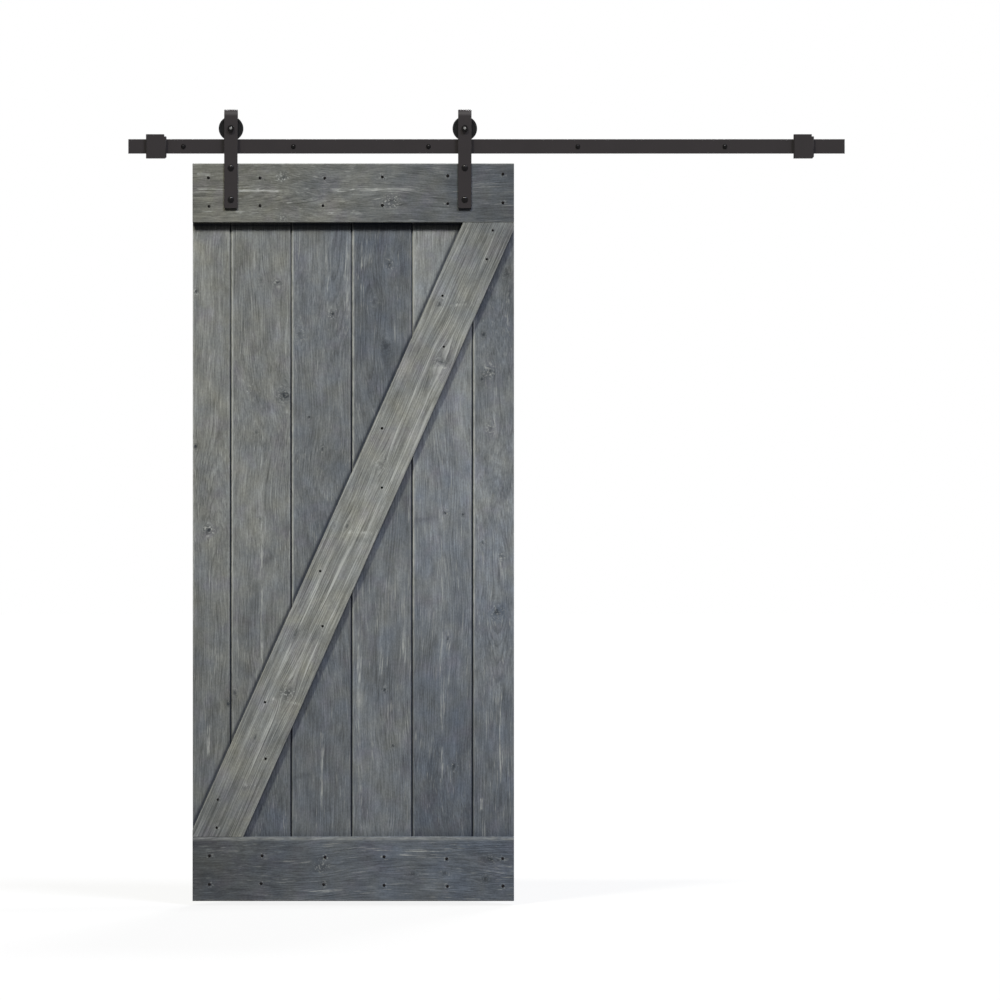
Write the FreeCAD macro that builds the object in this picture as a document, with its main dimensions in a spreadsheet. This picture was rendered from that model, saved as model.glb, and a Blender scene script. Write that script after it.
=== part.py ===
import FreeCAD, Part
import os
import Sketcher

# Sliding ledged and braced door on a flat wall rail.
#
# Millimetres. +X runs along the rail to the right, +Y goes into the wall and +Z is up.
# The wall's face is the plane Y = 0, and the origin is the middle of the centre spacer's back face.
# The leaf hangs in front of the wall by two bent straps whose wheels ride on the rail's top edge.

BOARD_COUNT = 6

# Lengths in millimetres, and parts of a direction, closer than this are the same.
CLOSE = 1e-4

SIZES = (
    ("door_width", 914.4, "leaf, edge to edge"),
    ("door_height", 2098, "leaf, top to bottom"),
    ("board_thick", 19, "vertical boards"),
    ("left_board_cover", 108, "face of the left board, ripped to fit"),
    ("right_board_cover", 118.4, "face of the right board, ripped to fit"),
    ("tongue_length", 8, "tongue beyond the board's shoulder"),
    ("tongue_thick", 6, "tongue, front to back"),
    ("tongue_setback", 6, "wood behind the tongue"),
    ("tongue_play", 0.3, "air round the tongue in its groove"),
    ("vee_depth", 4, "bevel on each side of a board joint"),
    ("ledge_thick", 19, "ledges and brace"),
    ("top_ledge_height", 168, "top ledge"),
    ("bottom_ledge_height", 183, "bottom ledge"),
    ("edge_ease", 2, "bevel on the front arrises of ledges and brace"),
    ("brace_width", 139.7, "brace, square across the grain"),
    ("brace_side_cut", 18, "end of the brace that lies along the leaf's edge"),
    ("wall_gap", 10, "air between the leaf's back and the wall"),
    ("leaf_drop", 28.4, "rail's bottom edge down to the leaf's top"),
    ("leaf_inset", 183.1, "rail's left end to the leaf's left edge, as parked"),
    ("rail_height", 41, "flat bar, on edge"),
    ("rail_thick", 6, "flat bar"),
    ("rail_ease", 0.8, "rounding of the bar's long edges"),
    ("first_bolt_inset", 156.7, "rail's left end to its first bolt"),
    ("bolt_gap_1", 312.8, "first to second rail bolt"),
    ("bolt_gap_2", 384.5, "second to third rail bolt"),
    ("bolt_gap_3", 424.9, "third to fourth rail bolt"),
    ("bolt_gap_4", 418.6, "fourth to fifth rail bolt"),
    ("last_bolt_inset", 341, "last bolt to the rail's right end"),
    ("lag_diameter", 8, "rail bolt's threaded stretch, in the wall"),
    ("lag_shank_diameter", 7.4, "rail bolt's plain shank, through rail and spacer"),
    ("lag_reach", 45, "rail bolt behind the wall's face"),
    ("lag_point", 6, "tapered tip of a rail bolt"),
    ("lag_head_diameter", 13, "rail bolt head"),
    ("lag_head_height", 5.3, "rail bolt head"),
    ("spacer_diameter", 20, "round spacer behind the rail"),
    ("spacer_chamfer", 1, "bevel of the spacer's rims"),
    ("wheel_radius", 35, "outside of the wheel's flanges"),
    ("groove_depth", 5, "flange height over the groove's floor"),
    ("flange_thick", 5, "each flange at the groove's floor"),
    ("flange_slope", 1, "groove's wall leaning out over its depth"),
    ("wheel_chamfer", 1, "bevel of the flanges' outer rims"),
    ("groove_play", 1, "air on each side of the rail in the groove"),
    ("ride_gap", 0.3, "groove's floor over the rail's top edge"),
    ("bearing_diameter", 26, "ball bearing pressed into the wheel"),
    ("bearing_ring", 2.5, "each ring of the bearing"),
    ("shield_recess", 0.6, "bearing shield below the rings' faces"),
    ("axle_diameter", 10, "axle bolt shank"),
    ("axle_play", 0.05, "bearing bore over the axle, on the radius"),
    ("bush_diameter", 16, "bush between wheel and strap"),
    ("bush_chamfer", 0.5, "bevel of a bush's outer rims"),
    ("side_gap", 5, "wheel to strap on each side"),
    ("bush_play", 0.2, "bush end to the bearing"),
    ("strap_width", 38.1, "flat bar of the hangers"),
    ("strap_thick", 6, "flat bar of the hangers"),
    ("strap_lap", 127.5, "strap's foot below the leaf's top"),
    ("strap_ease", 1, "rounding of the strap's long edges"),
    ("strap_corner", 2, "rounding of the strap's foot corners"),
    ("wheel_headroom", 13.2, "wheel's top to the inside of the bend"),
    ("back_leg_drop", 19, "back leg's end below the axle"),
    ("left_hanger_inset", 109.2, "left strap's middle from the leaf's left edge"),
    ("right_hanger_inset", 140, "right strap's middle from the leaf's right edge"),
    ("hanger_bolt_diameter", 8, "hanger bolt shank"),
    ("hanger_head_diameter", 18, "domed head of a hanger bolt"),
    ("hanger_head_height", 4.6, "domed head of a hanger bolt"),
    ("upper_bolt_drop", 13, "leaf's top to the upper hanger bolt"),
    ("hanger_bolt_spacing", 90, "upper to lower hanger bolt"),
    ("bolt_play", 0.25, "hole over its bolt, on the radius"),
    ("head_rim", 1.2, "straight rim under a domed head"),
    ("recess_diameter", 20, "counterbore for a nut in the leaf's back"),
    ("recess_depth", 10, "counterbore for a nut in the leaf's back"),
    ("nut_across_flats", 13, "hexagon of a hanger bolt's nut"),
    ("nut_thick", 6, "hexagon of a hanger bolt's nut"),
    ("nut_flange_diameter", 17, "flange of a hanger bolt's nut"),
    ("nut_flange_thick", 2, "flange of a hanger bolt's nut"),
    ("axle_across_flats", 17, "axle nuts and axle bolt heads"),
    ("axle_nut_thick", 8, "hexagon of the axle nuts"),
    ("axle_head_thick", 6, "hexagon head of the axle bolts"),
    ("hex_chamfer", 1, "corner bevel of a hexagon, along its axis"),
    ("thread_stand", 1.5, "bolt end beyond its nut"),
    ("bolt_end_chamfer", 1, "bevel of a bolt's end"),
    ("stop_width", 57.3, "stop along the rail"),
    ("stop_height", 68, "stop, top to bottom"),
    ("stop_depth", 36, "stop, front to back"),
    ("stop_notch", 6.2, "step in the stop's upper right corner"),
    ("stop_chamfer", 4, "bevel of the stop's lower right corner"),
    ("stop_ease", 3, "bevel of the stop's front arrises"),
    ("slot_play", 0.2, "air round the rail in a stop"),
    ("left_stop_inset", 50.8, "rail's left end to the left stop"),
    ("right_stop_inset", 88.1, "right stop to the rail's right end"),
)

# The rail's bolts are counted from its gaps, and the middle one stands at the origin.
GAPS = [alias for alias, *_ in SIZES if alias.startswith("bolt_gap_")]
CENTRE_GAP = len(GAPS) // 2

# What follows from the sizes above, as formulas in the same sheet.
DERIVED = (
    ("board_cover", f"(door_width - left_board_cover - right_board_cover) / {BOARD_COUNT - 2}"),
    ("leaf_thick", "board_thick + ledge_thick"),
    ("opening_height", "door_height - top_ledge_height - bottom_ledge_height"),
    ("wheel_width", "rail_thick + 2 * groove_play + 2 * flange_thick"),
    ("fork_half", "wheel_width / 2 + side_gap"),
    ("face_y", "-(wall_gap + leaf_thick)"),
    ("rail_y", "face_y + fork_half"),
    ("rail_back_y", "rail_y + rail_thick / 2"),
    ("rail_front_y", "rail_y - rail_thick / 2"),
    ("rail_left", f"-(first_bolt_inset + {' + '.join(GAPS[:CENTRE_GAP])})"),
    ("rail_length", f"first_bolt_inset + {' + '.join(GAPS)} + last_bolt_inset"),
    ("rail_top", "rail_height / 2"),
    ("groove_radius", "wheel_radius - groove_depth"),
    ("axle_z", "rail_top + ride_gap + groove_radius"),
    ("bend_rise", "wheel_radius + wheel_headroom - fork_half"),
    ("leaf_left", "rail_left + leaf_inset"),
    ("leaf_top", "-rail_top - leaf_drop"),
    ("leaf_bottom", "leaf_top - door_height"),
    ("left_hanger_x", "leaf_left + left_hanger_inset"),
    ("right_hanger_x", "leaf_left + door_width - right_hanger_inset"),
    ("upper_bolt_z", "leaf_top - upper_bolt_drop"),
    ("lower_bolt_z", "upper_bolt_z - hanger_bolt_spacing"),
    ("strap_foot", "leaf_top - strap_lap - axle_z"),
    ("half_width", "door_width / 2"),
    ("half_opening", "opening_height / 2"),
    ("brace_reach", "sqrt(half_width ^ 2 + (half_opening - brace_side_cut) ^ 2)"),
    ("brace_slope", "atan((half_opening - brace_side_cut) / half_width)"),
    ("brace_lean", "acos(brace_width / 2 / brace_reach) - brace_slope"),
    ("brace_foot", "half_width + (brace_width / 2 - half_opening * sin(brace_lean)) / cos(brace_lean)"),
    ("recess_seat_y", "-(wall_gap + recess_depth)"),
    ("hanger_bolt_tip_y", "recess_seat_y + nut_flange_thick + nut_thick + thread_stand"),
)

doc = FreeCAD.newDocument("SlidingDoor")
sheet = doc.addObject("Spreadsheet::Sheet", "Sizes")
for row, (alias, value, meaning) in enumerate(SIZES, start=1):
    sheet.set(f"A{row}", meaning)
    sheet.set(f"B{row}", str(value))
    sheet.setAlias(f"B{row}", alias)
for row, (alias, formula) in enumerate(DERIVED, start=len(SIZES) + 1):
    sheet.set(f"B{row}", "=" + formula)
    sheet.setAlias(f"B{row}", alias)
doc.recompute()


def value_of(expression):
    """Number that an expression on the sheet stands for now."""
    return float(getattr(result := sheet.evalExpression(expression), "Value", result))


def new_body(label, x="0", y="0", z="0"):
    """Sub-part whose own origin stands at x, y, z."""
    body = doc.addObject("PartDesign::Body", label)
    body.Label = label
    for axis, expression in (("x", x), ("y", y), ("z", z)):
        body.setExpression(f"Placement.Base.{axis}", expression)
    return body


def new_sketch(body, name, role):
    """Sketch on one of the body's origin planes.

    On XZ_Plane up is +Z and a pad grows towards the front, on YZ_Plane across is +Y and up is +Z,
    and on XY_Plane the section is seen from above.
    """
    sketch = body.newObject("Sketcher::SketchObject", name)
    origin_plane = next(f for f in body.Origin.OriginFeatures if f.Role == role)
    sketch.AttachmentSupport = [(origin_plane, "")]
    sketch.MapMode = "FlatFace"
    return sketch


def bind(sketch, constraint, expression):
    """Add a dimension that follows an expression."""
    index = sketch.addConstraint(constraint)
    sketch.setExpression(f"Constraints[{index}]", expression)


def outline(sketch, corners, bends=()):
    """Closed profile through corners, each an (across, up) pair of expressions.

    bends lists (corner, centre across, centre up, turn) for each round stretch from that corner
    to the next, with turn +1 anticlockwise or -1 clockwise.
    """
    points = [FreeCAD.Vector(value_of(across), value_of(up), 0) for across, up in corners]
    round_from = {corner: (across, up, turn) for corner, across, up, turn in bends}
    edges = []
    for index, start in enumerate(points):
        end = points[(index + 1) % len(points)]
        if index not in round_from:
            edges.append((sketch.addGeometry(Part.LineSegment(start, end)), 1, 2))
            continue
        across, up, turn = round_from[index]
        centre = FreeCAD.Vector(value_of(across), value_of(up), 0)
        first, last = (start, end) if turn > 0 else (end, start)
        circle = Part.Circle(centre, FreeCAD.Vector(0, 0, 1), (start - centre).Length)
        angles = [circle.parameter(point) for point in (first, last)]
        edge = sketch.addGeometry(Part.ArcOfCircle(circle, *angles))
        edges.append((edge, 1, 2) if turn > 0 else (edge, 2, 1))
    for index, (edge, _, far_end) in enumerate(edges):
        following, near_end, _ = edges[(index + 1) % len(edges)]
        sketch.addConstraint(Sketcher.Constraint("Coincident", edge, far_end, following, near_end))
    for (edge, near_end, _), (across, up) in zip(edges, corners):
        bind(sketch, Sketcher.Constraint("DistanceX", -1, 1, edge, near_end, value_of(across)), across)
        bind(sketch, Sketcher.Constraint("DistanceY", -1, 1, edge, near_end, value_of(up)), up)
    for corner, (across, up, _) in round_from.items():
        edge = edges[corner][0]
        bind(sketch, Sketcher.Constraint("DistanceY", -1, 1, edge, 3, value_of(up)), up)


def circle_at(sketch, across, up, radius):
    """Full circle for a hole or a round bar."""
    centre = FreeCAD.Vector(value_of(across), value_of(up), 0)
    edge = sketch.addGeometry(Part.Circle(centre, FreeCAD.Vector(0, 0, 1), value_of(radius)))
    bind(sketch, Sketcher.Constraint("DistanceX", -1, 1, edge, 3, centre.x), across)
    bind(sketch, Sketcher.Constraint("DistanceY", -1, 1, edge, 3, centre.y), up)
    bind(sketch, Sketcher.Constraint("Radius", edge, value_of(radius)), radius)


def pad(body, sketch, name, length, symmetric=False, backwards=False):
    """Grow a sketch square to its plane."""
    feature = body.newObject("PartDesign::Pad", name)
    feature.Profile = sketch
    feature.SideType = "Symmetric" if symmetric else "One side"
    feature.Reversed = backwards
    feature.setExpression("Length", length)
    doc.recompute()
    return feature


def cut_through(body, sketch, name):
    """Cut a sketch right through the body, both ways from its plane."""
    before = body.Shape.Volume
    feature = body.newObject("PartDesign::Pocket", name)
    feature.Profile = sketch
    feature.Type = "ThroughAll"
    feature.SideType = "Symmetric"
    doc.recompute()
    if body.Shape.Volume >= before:
        raise ValueError(f"{name} of {body.Label} cuts nothing")
    return feature


def turn(body, sketch, name):
    """Revolve a half section about the sketch's across axis, which is the body's Y axis."""
    feature = body.newObject("PartDesign::Revolution", name)
    feature.Profile = sketch
    feature.ReferenceAxis = (sketch, ["H_Axis"])
    doc.recompute()
    return feature


def dress(body, kind, name, size, chosen):
    """Fillet or Chamfer on the edges of the tip that chosen accepts."""
    tip = body.Tip
    names = [f"Edge{i}" for i, edge in enumerate(tip.Shape.Edges, start=1) if chosen(edge)]
    if not names:
        raise ValueError(f"{name} of {body.Label} finds no edge")
    feature = body.newObject(f"PartDesign::{kind}", name)
    feature.Base = (tip, names)
    feature.setExpression("Radius" if kind == "Fillet" else "Size", size)
    doc.recompute()
    return feature


def runs_along(edge, axis):
    """True for a straight edge along "x", "y" or "z"."""
    if edge.Curve.TypeId != "Part::GeomLine":
        return False
    return abs(abs(getattr(edge.Curve.Direction, axis)) - 1) < CLOSE


def lies_at(edge, axis, place):
    """True for an edge whose every point has the given coordinate, in the body's own frame."""
    box = edge.BoundBox
    low, high = getattr(box, axis.upper() + "Min"), getattr(box, axis.upper() + "Max")
    return abs(low - place) < CLOSE and abs(high - place) < CLOSE


def turned(label, x, y, z, profile, bends=()):
    """Round piece about an axis along Y, from its half section as (along Y, radius) pairs."""
    body = new_body(label, x, y, z)
    section = new_sketch(body, f"{label}_section", "YZ_Plane")
    outline(section, profile, bends)
    turn(body, section, f"{label}_turned")
    return body


def tube_profile(back, front, bore, outside, chamfer):
    """Half section of a tube with bevelled outer rims, from its back face to its front face."""
    return (
        (back, bore), (front, bore), (front, f"{outside} - {chamfer}"),
        (f"{front} + {chamfer}", outside), (f"{back} - {chamfer}", outside),
        (back, f"{outside} - {chamfer}"),
    )


def hexagon(sketch, across_flats):
    """Hexagon with two upright flats, round the sketch's origin."""
    flat, corner = f"{across_flats} / 2", f"{across_flats} / sqrt(3)"
    outline(sketch, (
        (flat, f"-{corner} / 2"), (flat, f"{corner} / 2"), ("0", corner),
        (f"-{flat}", f"{corner} / 2"), (f"-{flat}", f"-{corner} / 2"), ("0", f"-{corner}"),
    ))


def bevel_hexagon(body, across_flats, face, into):
    """Turn the six corners off a hexagon at one face, a small cone as on a real nut.

    face is the face's place along Y and into is "+" or "-" towards the hexagon's inside. The cone
    runs past the corners to twice their height over the flats, so it falls twice the bevel.
    """
    cone = new_sketch(body, f"{body.Label}_corner_section", "YZ_Plane")
    flat, corner = f"{across_flats} / 2", f"{across_flats} / sqrt(3)"
    outer = f"2 * {corner} - {flat}"
    outline(cone, ((face, flat), (f"{face} {into} 2 * Sizes.hex_chamfer", outer), (face, outer)))
    groove = body.newObject("PartDesign::Groove", f"{body.Label}_corners")
    groove.Profile = cone
    groove.ReferenceAxis = (cone, ["H_Axis"])
    doc.recompute()


def make_rail():
    """Flat bar on edge, with a hole for each rail bolt and eased long edges."""
    body = new_body("rail", "Sizes.rail_left", "Sizes.rail_back_y", "0")
    face = new_sketch(body, "rail_face", "XZ_Plane")
    outline(face, (
        ("0", "-Sizes.rail_top"), ("Sizes.rail_length", "-Sizes.rail_top"),
        ("Sizes.rail_length", "Sizes.rail_top"), ("0", "Sizes.rail_top"),
    ))
    for bolt_x in bolt_places():
        circle_at(face, f"{bolt_x} - Sizes.rail_left", "0", "Sizes.lag_diameter / 2 + Sizes.bolt_play")
    pad(body, face, "rail_bar", "Sizes.rail_thick")
    dress(body, "Fillet", "rail_edges", "Sizes.rail_ease", lambda edge: runs_along(edge, "x"))
    return body


def bolt_places():
    """X of each rail bolt, from the left, counted from the centre one at the origin."""
    places = []
    for bolt in range(len(GAPS) + 1):
        between = GAPS[min(bolt, CENTRE_GAP):max(bolt, CENTRE_GAP)]
        total = " + ".join(f"Sizes.{gap}" for gap in between) or "0"
        places.append(f"-({total})" if bolt < CENTRE_GAP else f"({total})")
    return places


def make_spacer(number, x):
    """Round spacer that holds the rail off the wall."""
    bore = "Sizes.lag_diameter / 2 + Sizes.bolt_play"
    outside = "Sizes.spacer_diameter / 2"
    profile = tube_profile("0", "Sizes.rail_back_y", bore, outside, "Sizes.spacer_chamfer")
    return turned(f"spacer_{number}", x, "0", "0", profile)


def make_lag_bolt(number, x):
    """Rail bolt: domed head on the rail's face, shank through rail and spacer into the wall."""
    seat, rim = "Sizes.rail_front_y", "Sizes.lag_head_diameter / 2"
    thread, shank = "Sizes.lag_diameter / 2", "Sizes.lag_shank_diameter / 2"
    profile = (
        ("Sizes.lag_reach", "0"), ("Sizes.lag_reach - Sizes.lag_point", thread),
        ("0", thread), ("0", shank), (seat, shank),
        (seat, rim), (f"{seat} - Sizes.head_rim", rim), (f"{seat} - Sizes.lag_head_height", "0"),
    )
    crown = dome(profile, seat, rim, "Sizes.lag_head_height")
    return turned(f"lag_bolt_{number}", x, "0", "0", profile, (crown,))


def dome(profile, seat, rim, height):
    """Round stretch over a head, between its profile's last two corners.

    Its centre lies on the axis, so that the arc meets rim and crown.
    """
    rise = f"({height} - Sizes.head_rim)"
    radius = f"(({rim}) ^ 2 + {rise} ^ 2) / (2 * {rise})"
    return (len(profile) - 2, f"{seat} - {height} + {radius}", "0", 1)


def make_stop(label, x):
    """Block round the rail that ends the leaf's travel, stepped at its upper right corner."""
    body = new_body(label, x, "Sizes.rail_y + Sizes.stop_depth / 2", "0")
    top, right = "Sizes.stop_height / 2", "Sizes.stop_width"
    face = new_sketch(body, f"{label}_face", "XZ_Plane")
    outline(face, (
        ("0", f"-{top}"), (f"{right} - Sizes.stop_chamfer", f"-{top}"),
        (right, f"-{top} + Sizes.stop_chamfer"), (right, f"{top} - Sizes.stop_notch"),
        (f"{right} - Sizes.stop_notch", f"{top} - Sizes.stop_notch"),
        (f"{right} - Sizes.stop_notch", top), ("0", top),
    ))
    pad(body, face, f"{label}_block", "Sizes.stop_depth")
    front = -value_of("Sizes.stop_depth")
    dress(body, "Chamfer", f"{label}_front_edges", "Sizes.stop_ease",
          lambda edge: lies_at(edge, "y", front) and runs_along(edge, "z")
          and edge.Length > value_of("Sizes.stop_height") / 2)
    slot = new_sketch(body, f"{label}_slot", "YZ_Plane")
    middle, half = "-Sizes.stop_depth / 2", "(Sizes.rail_thick / 2 + Sizes.slot_play)"
    high = "(Sizes.rail_top + Sizes.slot_play)"
    outline(slot, (
        (f"{middle} - {half}", f"-{high}"), (f"{middle} + {half}", f"-{high}"),
        (f"{middle} + {half}", high), (f"{middle} - {half}", high),
    ))
    cut_through(body, slot, f"{label}_rail_slot")
    return body


def make_board(number, left, cover):
    """Vertical board with a tongue on its right and a groove on its left, where a neighbour meets it."""
    label = f"board_{number}"
    has_groove, has_tongue = number > 1, number < BOARD_COUNT
    body = new_body(label, left, "-Sizes.wall_gap", "Sizes.leaf_bottom")
    front = "-Sizes.board_thick"
    tongue_back = "-Sizes.tongue_setback"
    tongue_front = "-(Sizes.tongue_setback + Sizes.tongue_thick)"
    corners = [("0", "0"), (cover, "0")]
    if has_tongue:
        corners += [
            (cover, tongue_back), (f"{cover} + Sizes.tongue_length", tongue_back),
            (f"{cover} + Sizes.tongue_length", tongue_front), (cover, tongue_front),
            (cover, f"{front} + Sizes.vee_depth"), (f"{cover} - Sizes.vee_depth", front),
        ]
    else:
        corners += [(cover, front)]
    if has_groove:
        depth = "Sizes.tongue_length + Sizes.tongue_play"
        corners += [
            ("Sizes.vee_depth", front), ("0", f"{front} + Sizes.vee_depth"),
            ("0", f"{tongue_front} - Sizes.tongue_play"), (depth, f"{tongue_front} - Sizes.tongue_play"),
            (depth, f"{tongue_back} + Sizes.tongue_play"), ("0", f"{tongue_back} + Sizes.tongue_play"),
        ]
    else:
        corners += [("0", front)]
    section = new_sketch(body, f"{label}_section", "XY_Plane")
    outline(section, corners)
    pad(body, section, f"{label}_plank", "Sizes.door_height")
    drill_board(body, left, value_of(cover) + (value_of("Sizes.tongue_length") if has_tongue else 0))
    return body


def drill_board(body, left, reach):
    """Bolt holes and nut recesses of the hangers that reach this board."""
    for side in ("left", "right"):
        across = f"Sizes.{side}_hanger_x - ({left})"
        for kind, diameter in (("recess", "Sizes.recess_diameter"), ("bolt", "Sizes.hanger_bolt_diameter")):
            play = "0" if kind == "recess" else "Sizes.bolt_play"
            radius = f"{diameter} / 2 + {play}"
            if not -value_of(radius) < value_of(across) < reach + value_of(radius):
                continue
            holes = new_sketch(body, f"{body.Label}_{side}_{kind}_holes", "XZ_Plane")
            for level in ("upper", "lower"):
                circle_at(holes, across, f"Sizes.{level}_bolt_z - Sizes.leaf_bottom", radius)
            if kind == "bolt":
                cut_through(body, holes, f"{body.Label}_{side}_bolt_cut")
                continue
            sink = body.newObject("PartDesign::Pocket", f"{body.Label}_{side}_recess_cut")
            sink.Profile = holes
            sink.Reversed = True
            sink.setExpression("Length", "Sizes.recess_depth")
            doc.recompute()


def make_ledge(label, bottom, height, drilled):
    """Board across the leaf's front, with the hangers' bolt holes where it carries them."""
    body = new_body(label, "Sizes.leaf_left", "-(Sizes.wall_gap + Sizes.board_thick)", bottom)
    face = new_sketch(body, f"{label}_face", "XZ_Plane")
    outline(face, (("0", "0"), ("Sizes.door_width", "0"), ("Sizes.door_width", height), ("0", height)))
    for side in ("left", "right") if drilled else ():
        across = f"Sizes.{side}_hanger_x - Sizes.leaf_left"
        for level in ("upper", "lower"):
            up = f"Sizes.{level}_bolt_z - ({bottom})"
            circle_at(face, across, up, "Sizes.hanger_bolt_diameter / 2 + Sizes.bolt_play")
    pad(body, face, f"{label}_plank", "Sizes.ledge_thick")
    front = -value_of("Sizes.ledge_thick")
    dress(body, "Chamfer", f"{label}_arrises", "Sizes.edge_ease",
          lambda edge: lies_at(edge, "y", front) and runs_along(edge, "x"))
    return body


def make_brace():
    """Diagonal between the ledges, its ends cut to the ledges and to the leaf's edges."""
    body = new_body("brace", "Sizes.leaf_left", "-(Sizes.wall_gap + Sizes.board_thick)",
                    "Sizes.leaf_bottom + Sizes.bottom_ledge_height")
    wide, high = "Sizes.door_width", "Sizes.opening_height"
    face = new_sketch(body, "brace_face", "XZ_Plane")
    outline(face, (
        ("0", "0"), ("Sizes.brace_foot", "0"), (wide, f"{high} - Sizes.brace_side_cut"), (wide, high),
        (f"{wide} - Sizes.brace_foot", high), ("0", "Sizes.brace_side_cut"),
    ))
    pad(body, face, "brace_plank", "Sizes.ledge_thick")
    front = -value_of("Sizes.ledge_thick")
    dress(body, "Chamfer", "brace_arrises", "Sizes.edge_ease",
          lambda edge: lies_at(edge, "y", front) and edge.Length > value_of("Sizes.door_width"))
    return body


def make_strap(side):
    """Hanger: flat bar up the leaf's front, bent over the wheel, with a short leg behind it."""
    label = f"{side}_strap"
    body = new_body(label, f"Sizes.{side}_hanger_x", "Sizes.rail_y", "Sizes.axle_z")
    inside, outside = "Sizes.fork_half", "(Sizes.fork_half + Sizes.strap_thick)"
    bend, foot, back_end = "Sizes.bend_rise", "Sizes.strap_foot", "-Sizes.back_leg_drop"
    corners = (
        (inside, back_end), (inside, bend), (f"-{inside}", bend), (f"-{inside}", foot),
        (f"-{outside}", foot), (f"-{outside}", bend), (outside, bend), (outside, back_end),
    )
    inner_bend = (corners.index((inside, bend)), "0", bend, 1)
    outer_bend = (corners.index((f"-{outside}", bend)), "0", bend, -1)
    section = new_sketch(body, f"{label}_section", "YZ_Plane")
    outline(section, corners, (inner_bend, outer_bend))
    pad(body, section, f"{label}_bar", "Sizes.strap_width", symmetric=True)
    ends = [value_of("Sizes.strap_foot"), -value_of("Sizes.back_leg_drop")]
    dress(body, "Fillet", f"{label}_corners", "Sizes.strap_corner",
          lambda edge: runs_along(edge, "y") and any(lies_at(edge, "z", end) for end in ends))
    sides = [value_of("Sizes.strap_width") / 2, -value_of("Sizes.strap_width") / 2]
    dress(body, "Fillet", f"{label}_long_edges", "Sizes.strap_ease",
          lambda edge: any(lies_at(edge, "x", place) for place in sides) and not runs_along(edge, "y"))
    drill_strap(body)
    return body


def drill_strap(body):
    """Round hole for the axle through both legs, and square holes for the bolts' necks."""
    axle = new_sketch(body, f"{body.Label}_axle_hole", "XZ_Plane")
    circle_at(axle, "0", "0", "Sizes.axle_diameter / 2 + Sizes.bolt_play")
    cut_through(body, axle, f"{body.Label}_axle_cut")
    half = "(Sizes.hanger_bolt_diameter / 2 + Sizes.bolt_play)"
    for level in ("upper", "lower"):
        middle = f"Sizes.{level}_bolt_z - Sizes.axle_z"
        square = new_sketch(body, f"{body.Label}_{level}_hole", "XZ_Plane")
        outline(square, (
            (f"-{half}", f"{middle} - {half}"), (half, f"{middle} - {half}"),
            (half, f"{middle} + {half}"), (f"-{half}", f"{middle} + {half}"),
        ))
        cut_through(body, square, f"{body.Label}_{level}_cut")


def make_hanger_bolt(side, level):
    """Carriage bolt through strap, ledge and board: domed head, square neck in the strap."""
    label = f"{side}_{level}_bolt"
    seat, tip = "(Sizes.face_y - Sizes.strap_thick)", "Sizes.hanger_bolt_tip_y"
    radius, rim = "Sizes.hanger_bolt_diameter / 2", "Sizes.hanger_head_diameter / 2"
    profile = (
        (tip, "0"), (tip, f"{radius} - Sizes.bolt_end_chamfer"),
        (f"{tip} - Sizes.bolt_end_chamfer", radius), (seat, radius),
        (seat, rim), (f"{seat} - Sizes.head_rim", rim), (f"{seat} - Sizes.hanger_head_height", "0"),
    )
    body = turned(label, f"Sizes.{side}_hanger_x", "0", f"Sizes.{level}_bolt_z", profile,
                  (dome(profile, seat, rim, "Sizes.hanger_head_height"),))
    neck = new_sketch(body, f"{label}_neck_section", "XZ_Plane")
    neck.setExpression("AttachmentOffset.Base.z", f"-{seat}")
    outline(neck, (
        (f"-{radius}", f"-{radius}"), (radius, f"-{radius}"), (radius, radius), (f"-{radius}", radius),
    ))
    pad(body, neck, f"{label}_neck", "Sizes.strap_thick", backwards=True)
    return body


def make_hanger_nut(side, level):
    """Flange nut sunk in the leaf's back."""
    label = f"{side}_{level}_nut"
    across, whole = "Sizes.nut_across_flats", "Sizes.nut_flange_thick + Sizes.nut_thick"
    body = new_body(label, f"Sizes.{side}_hanger_x", "Sizes.recess_seat_y", f"Sizes.{level}_bolt_z")
    hexagon_face = new_sketch(body, f"{label}_hexagon", "XZ_Plane")
    hexagon(hexagon_face, across)
    circle_at(hexagon_face, "0", "0", "Sizes.hanger_bolt_diameter / 2")
    pad(body, hexagon_face, f"{label}_hexagon_pad", whole, backwards=True)
    bevel_hexagon(body, across, whole, "-")
    flange = new_sketch(body, f"{label}_flange_face", "XZ_Plane")
    circle_at(flange, "0", "0", "Sizes.nut_flange_diameter / 2")
    circle_at(flange, "0", "0", "Sizes.hanger_bolt_diameter / 2")
    pad(body, flange, f"{label}_flange", "Sizes.nut_flange_thick", backwards=True)
    return body


def make_axle_bolt(side):
    """Axle: hexagon head behind the back leg, shank through wheel and both legs."""
    label = f"{side}_axle_bolt"
    body = new_body(label, f"Sizes.{side}_hanger_x", "Sizes.rail_y", "Sizes.axle_z")
    seat, radius = "(Sizes.fork_half + Sizes.strap_thick)", "Sizes.axle_diameter / 2"
    tip = f"-({seat} + Sizes.axle_nut_thick + Sizes.thread_stand)"
    head = new_sketch(body, f"{label}_head_face", "XZ_Plane")
    head.setExpression("AttachmentOffset.Base.z", f"-{seat}")
    hexagon(head, "Sizes.axle_across_flats")
    pad(body, head, f"{label}_head", "Sizes.axle_head_thick", backwards=True)
    bevel_hexagon(body, "Sizes.axle_across_flats", f"{seat} + Sizes.axle_head_thick", "-")
    shank = new_sketch(body, f"{label}_shank_section", "YZ_Plane")
    outline(shank, (
        (seat, "0"), (seat, radius), (f"{tip} + Sizes.bolt_end_chamfer", radius),
        (tip, f"{radius} - Sizes.bolt_end_chamfer"), (tip, "0"),
    ))
    turn(body, shank, f"{label}_shank")
    return body


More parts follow.
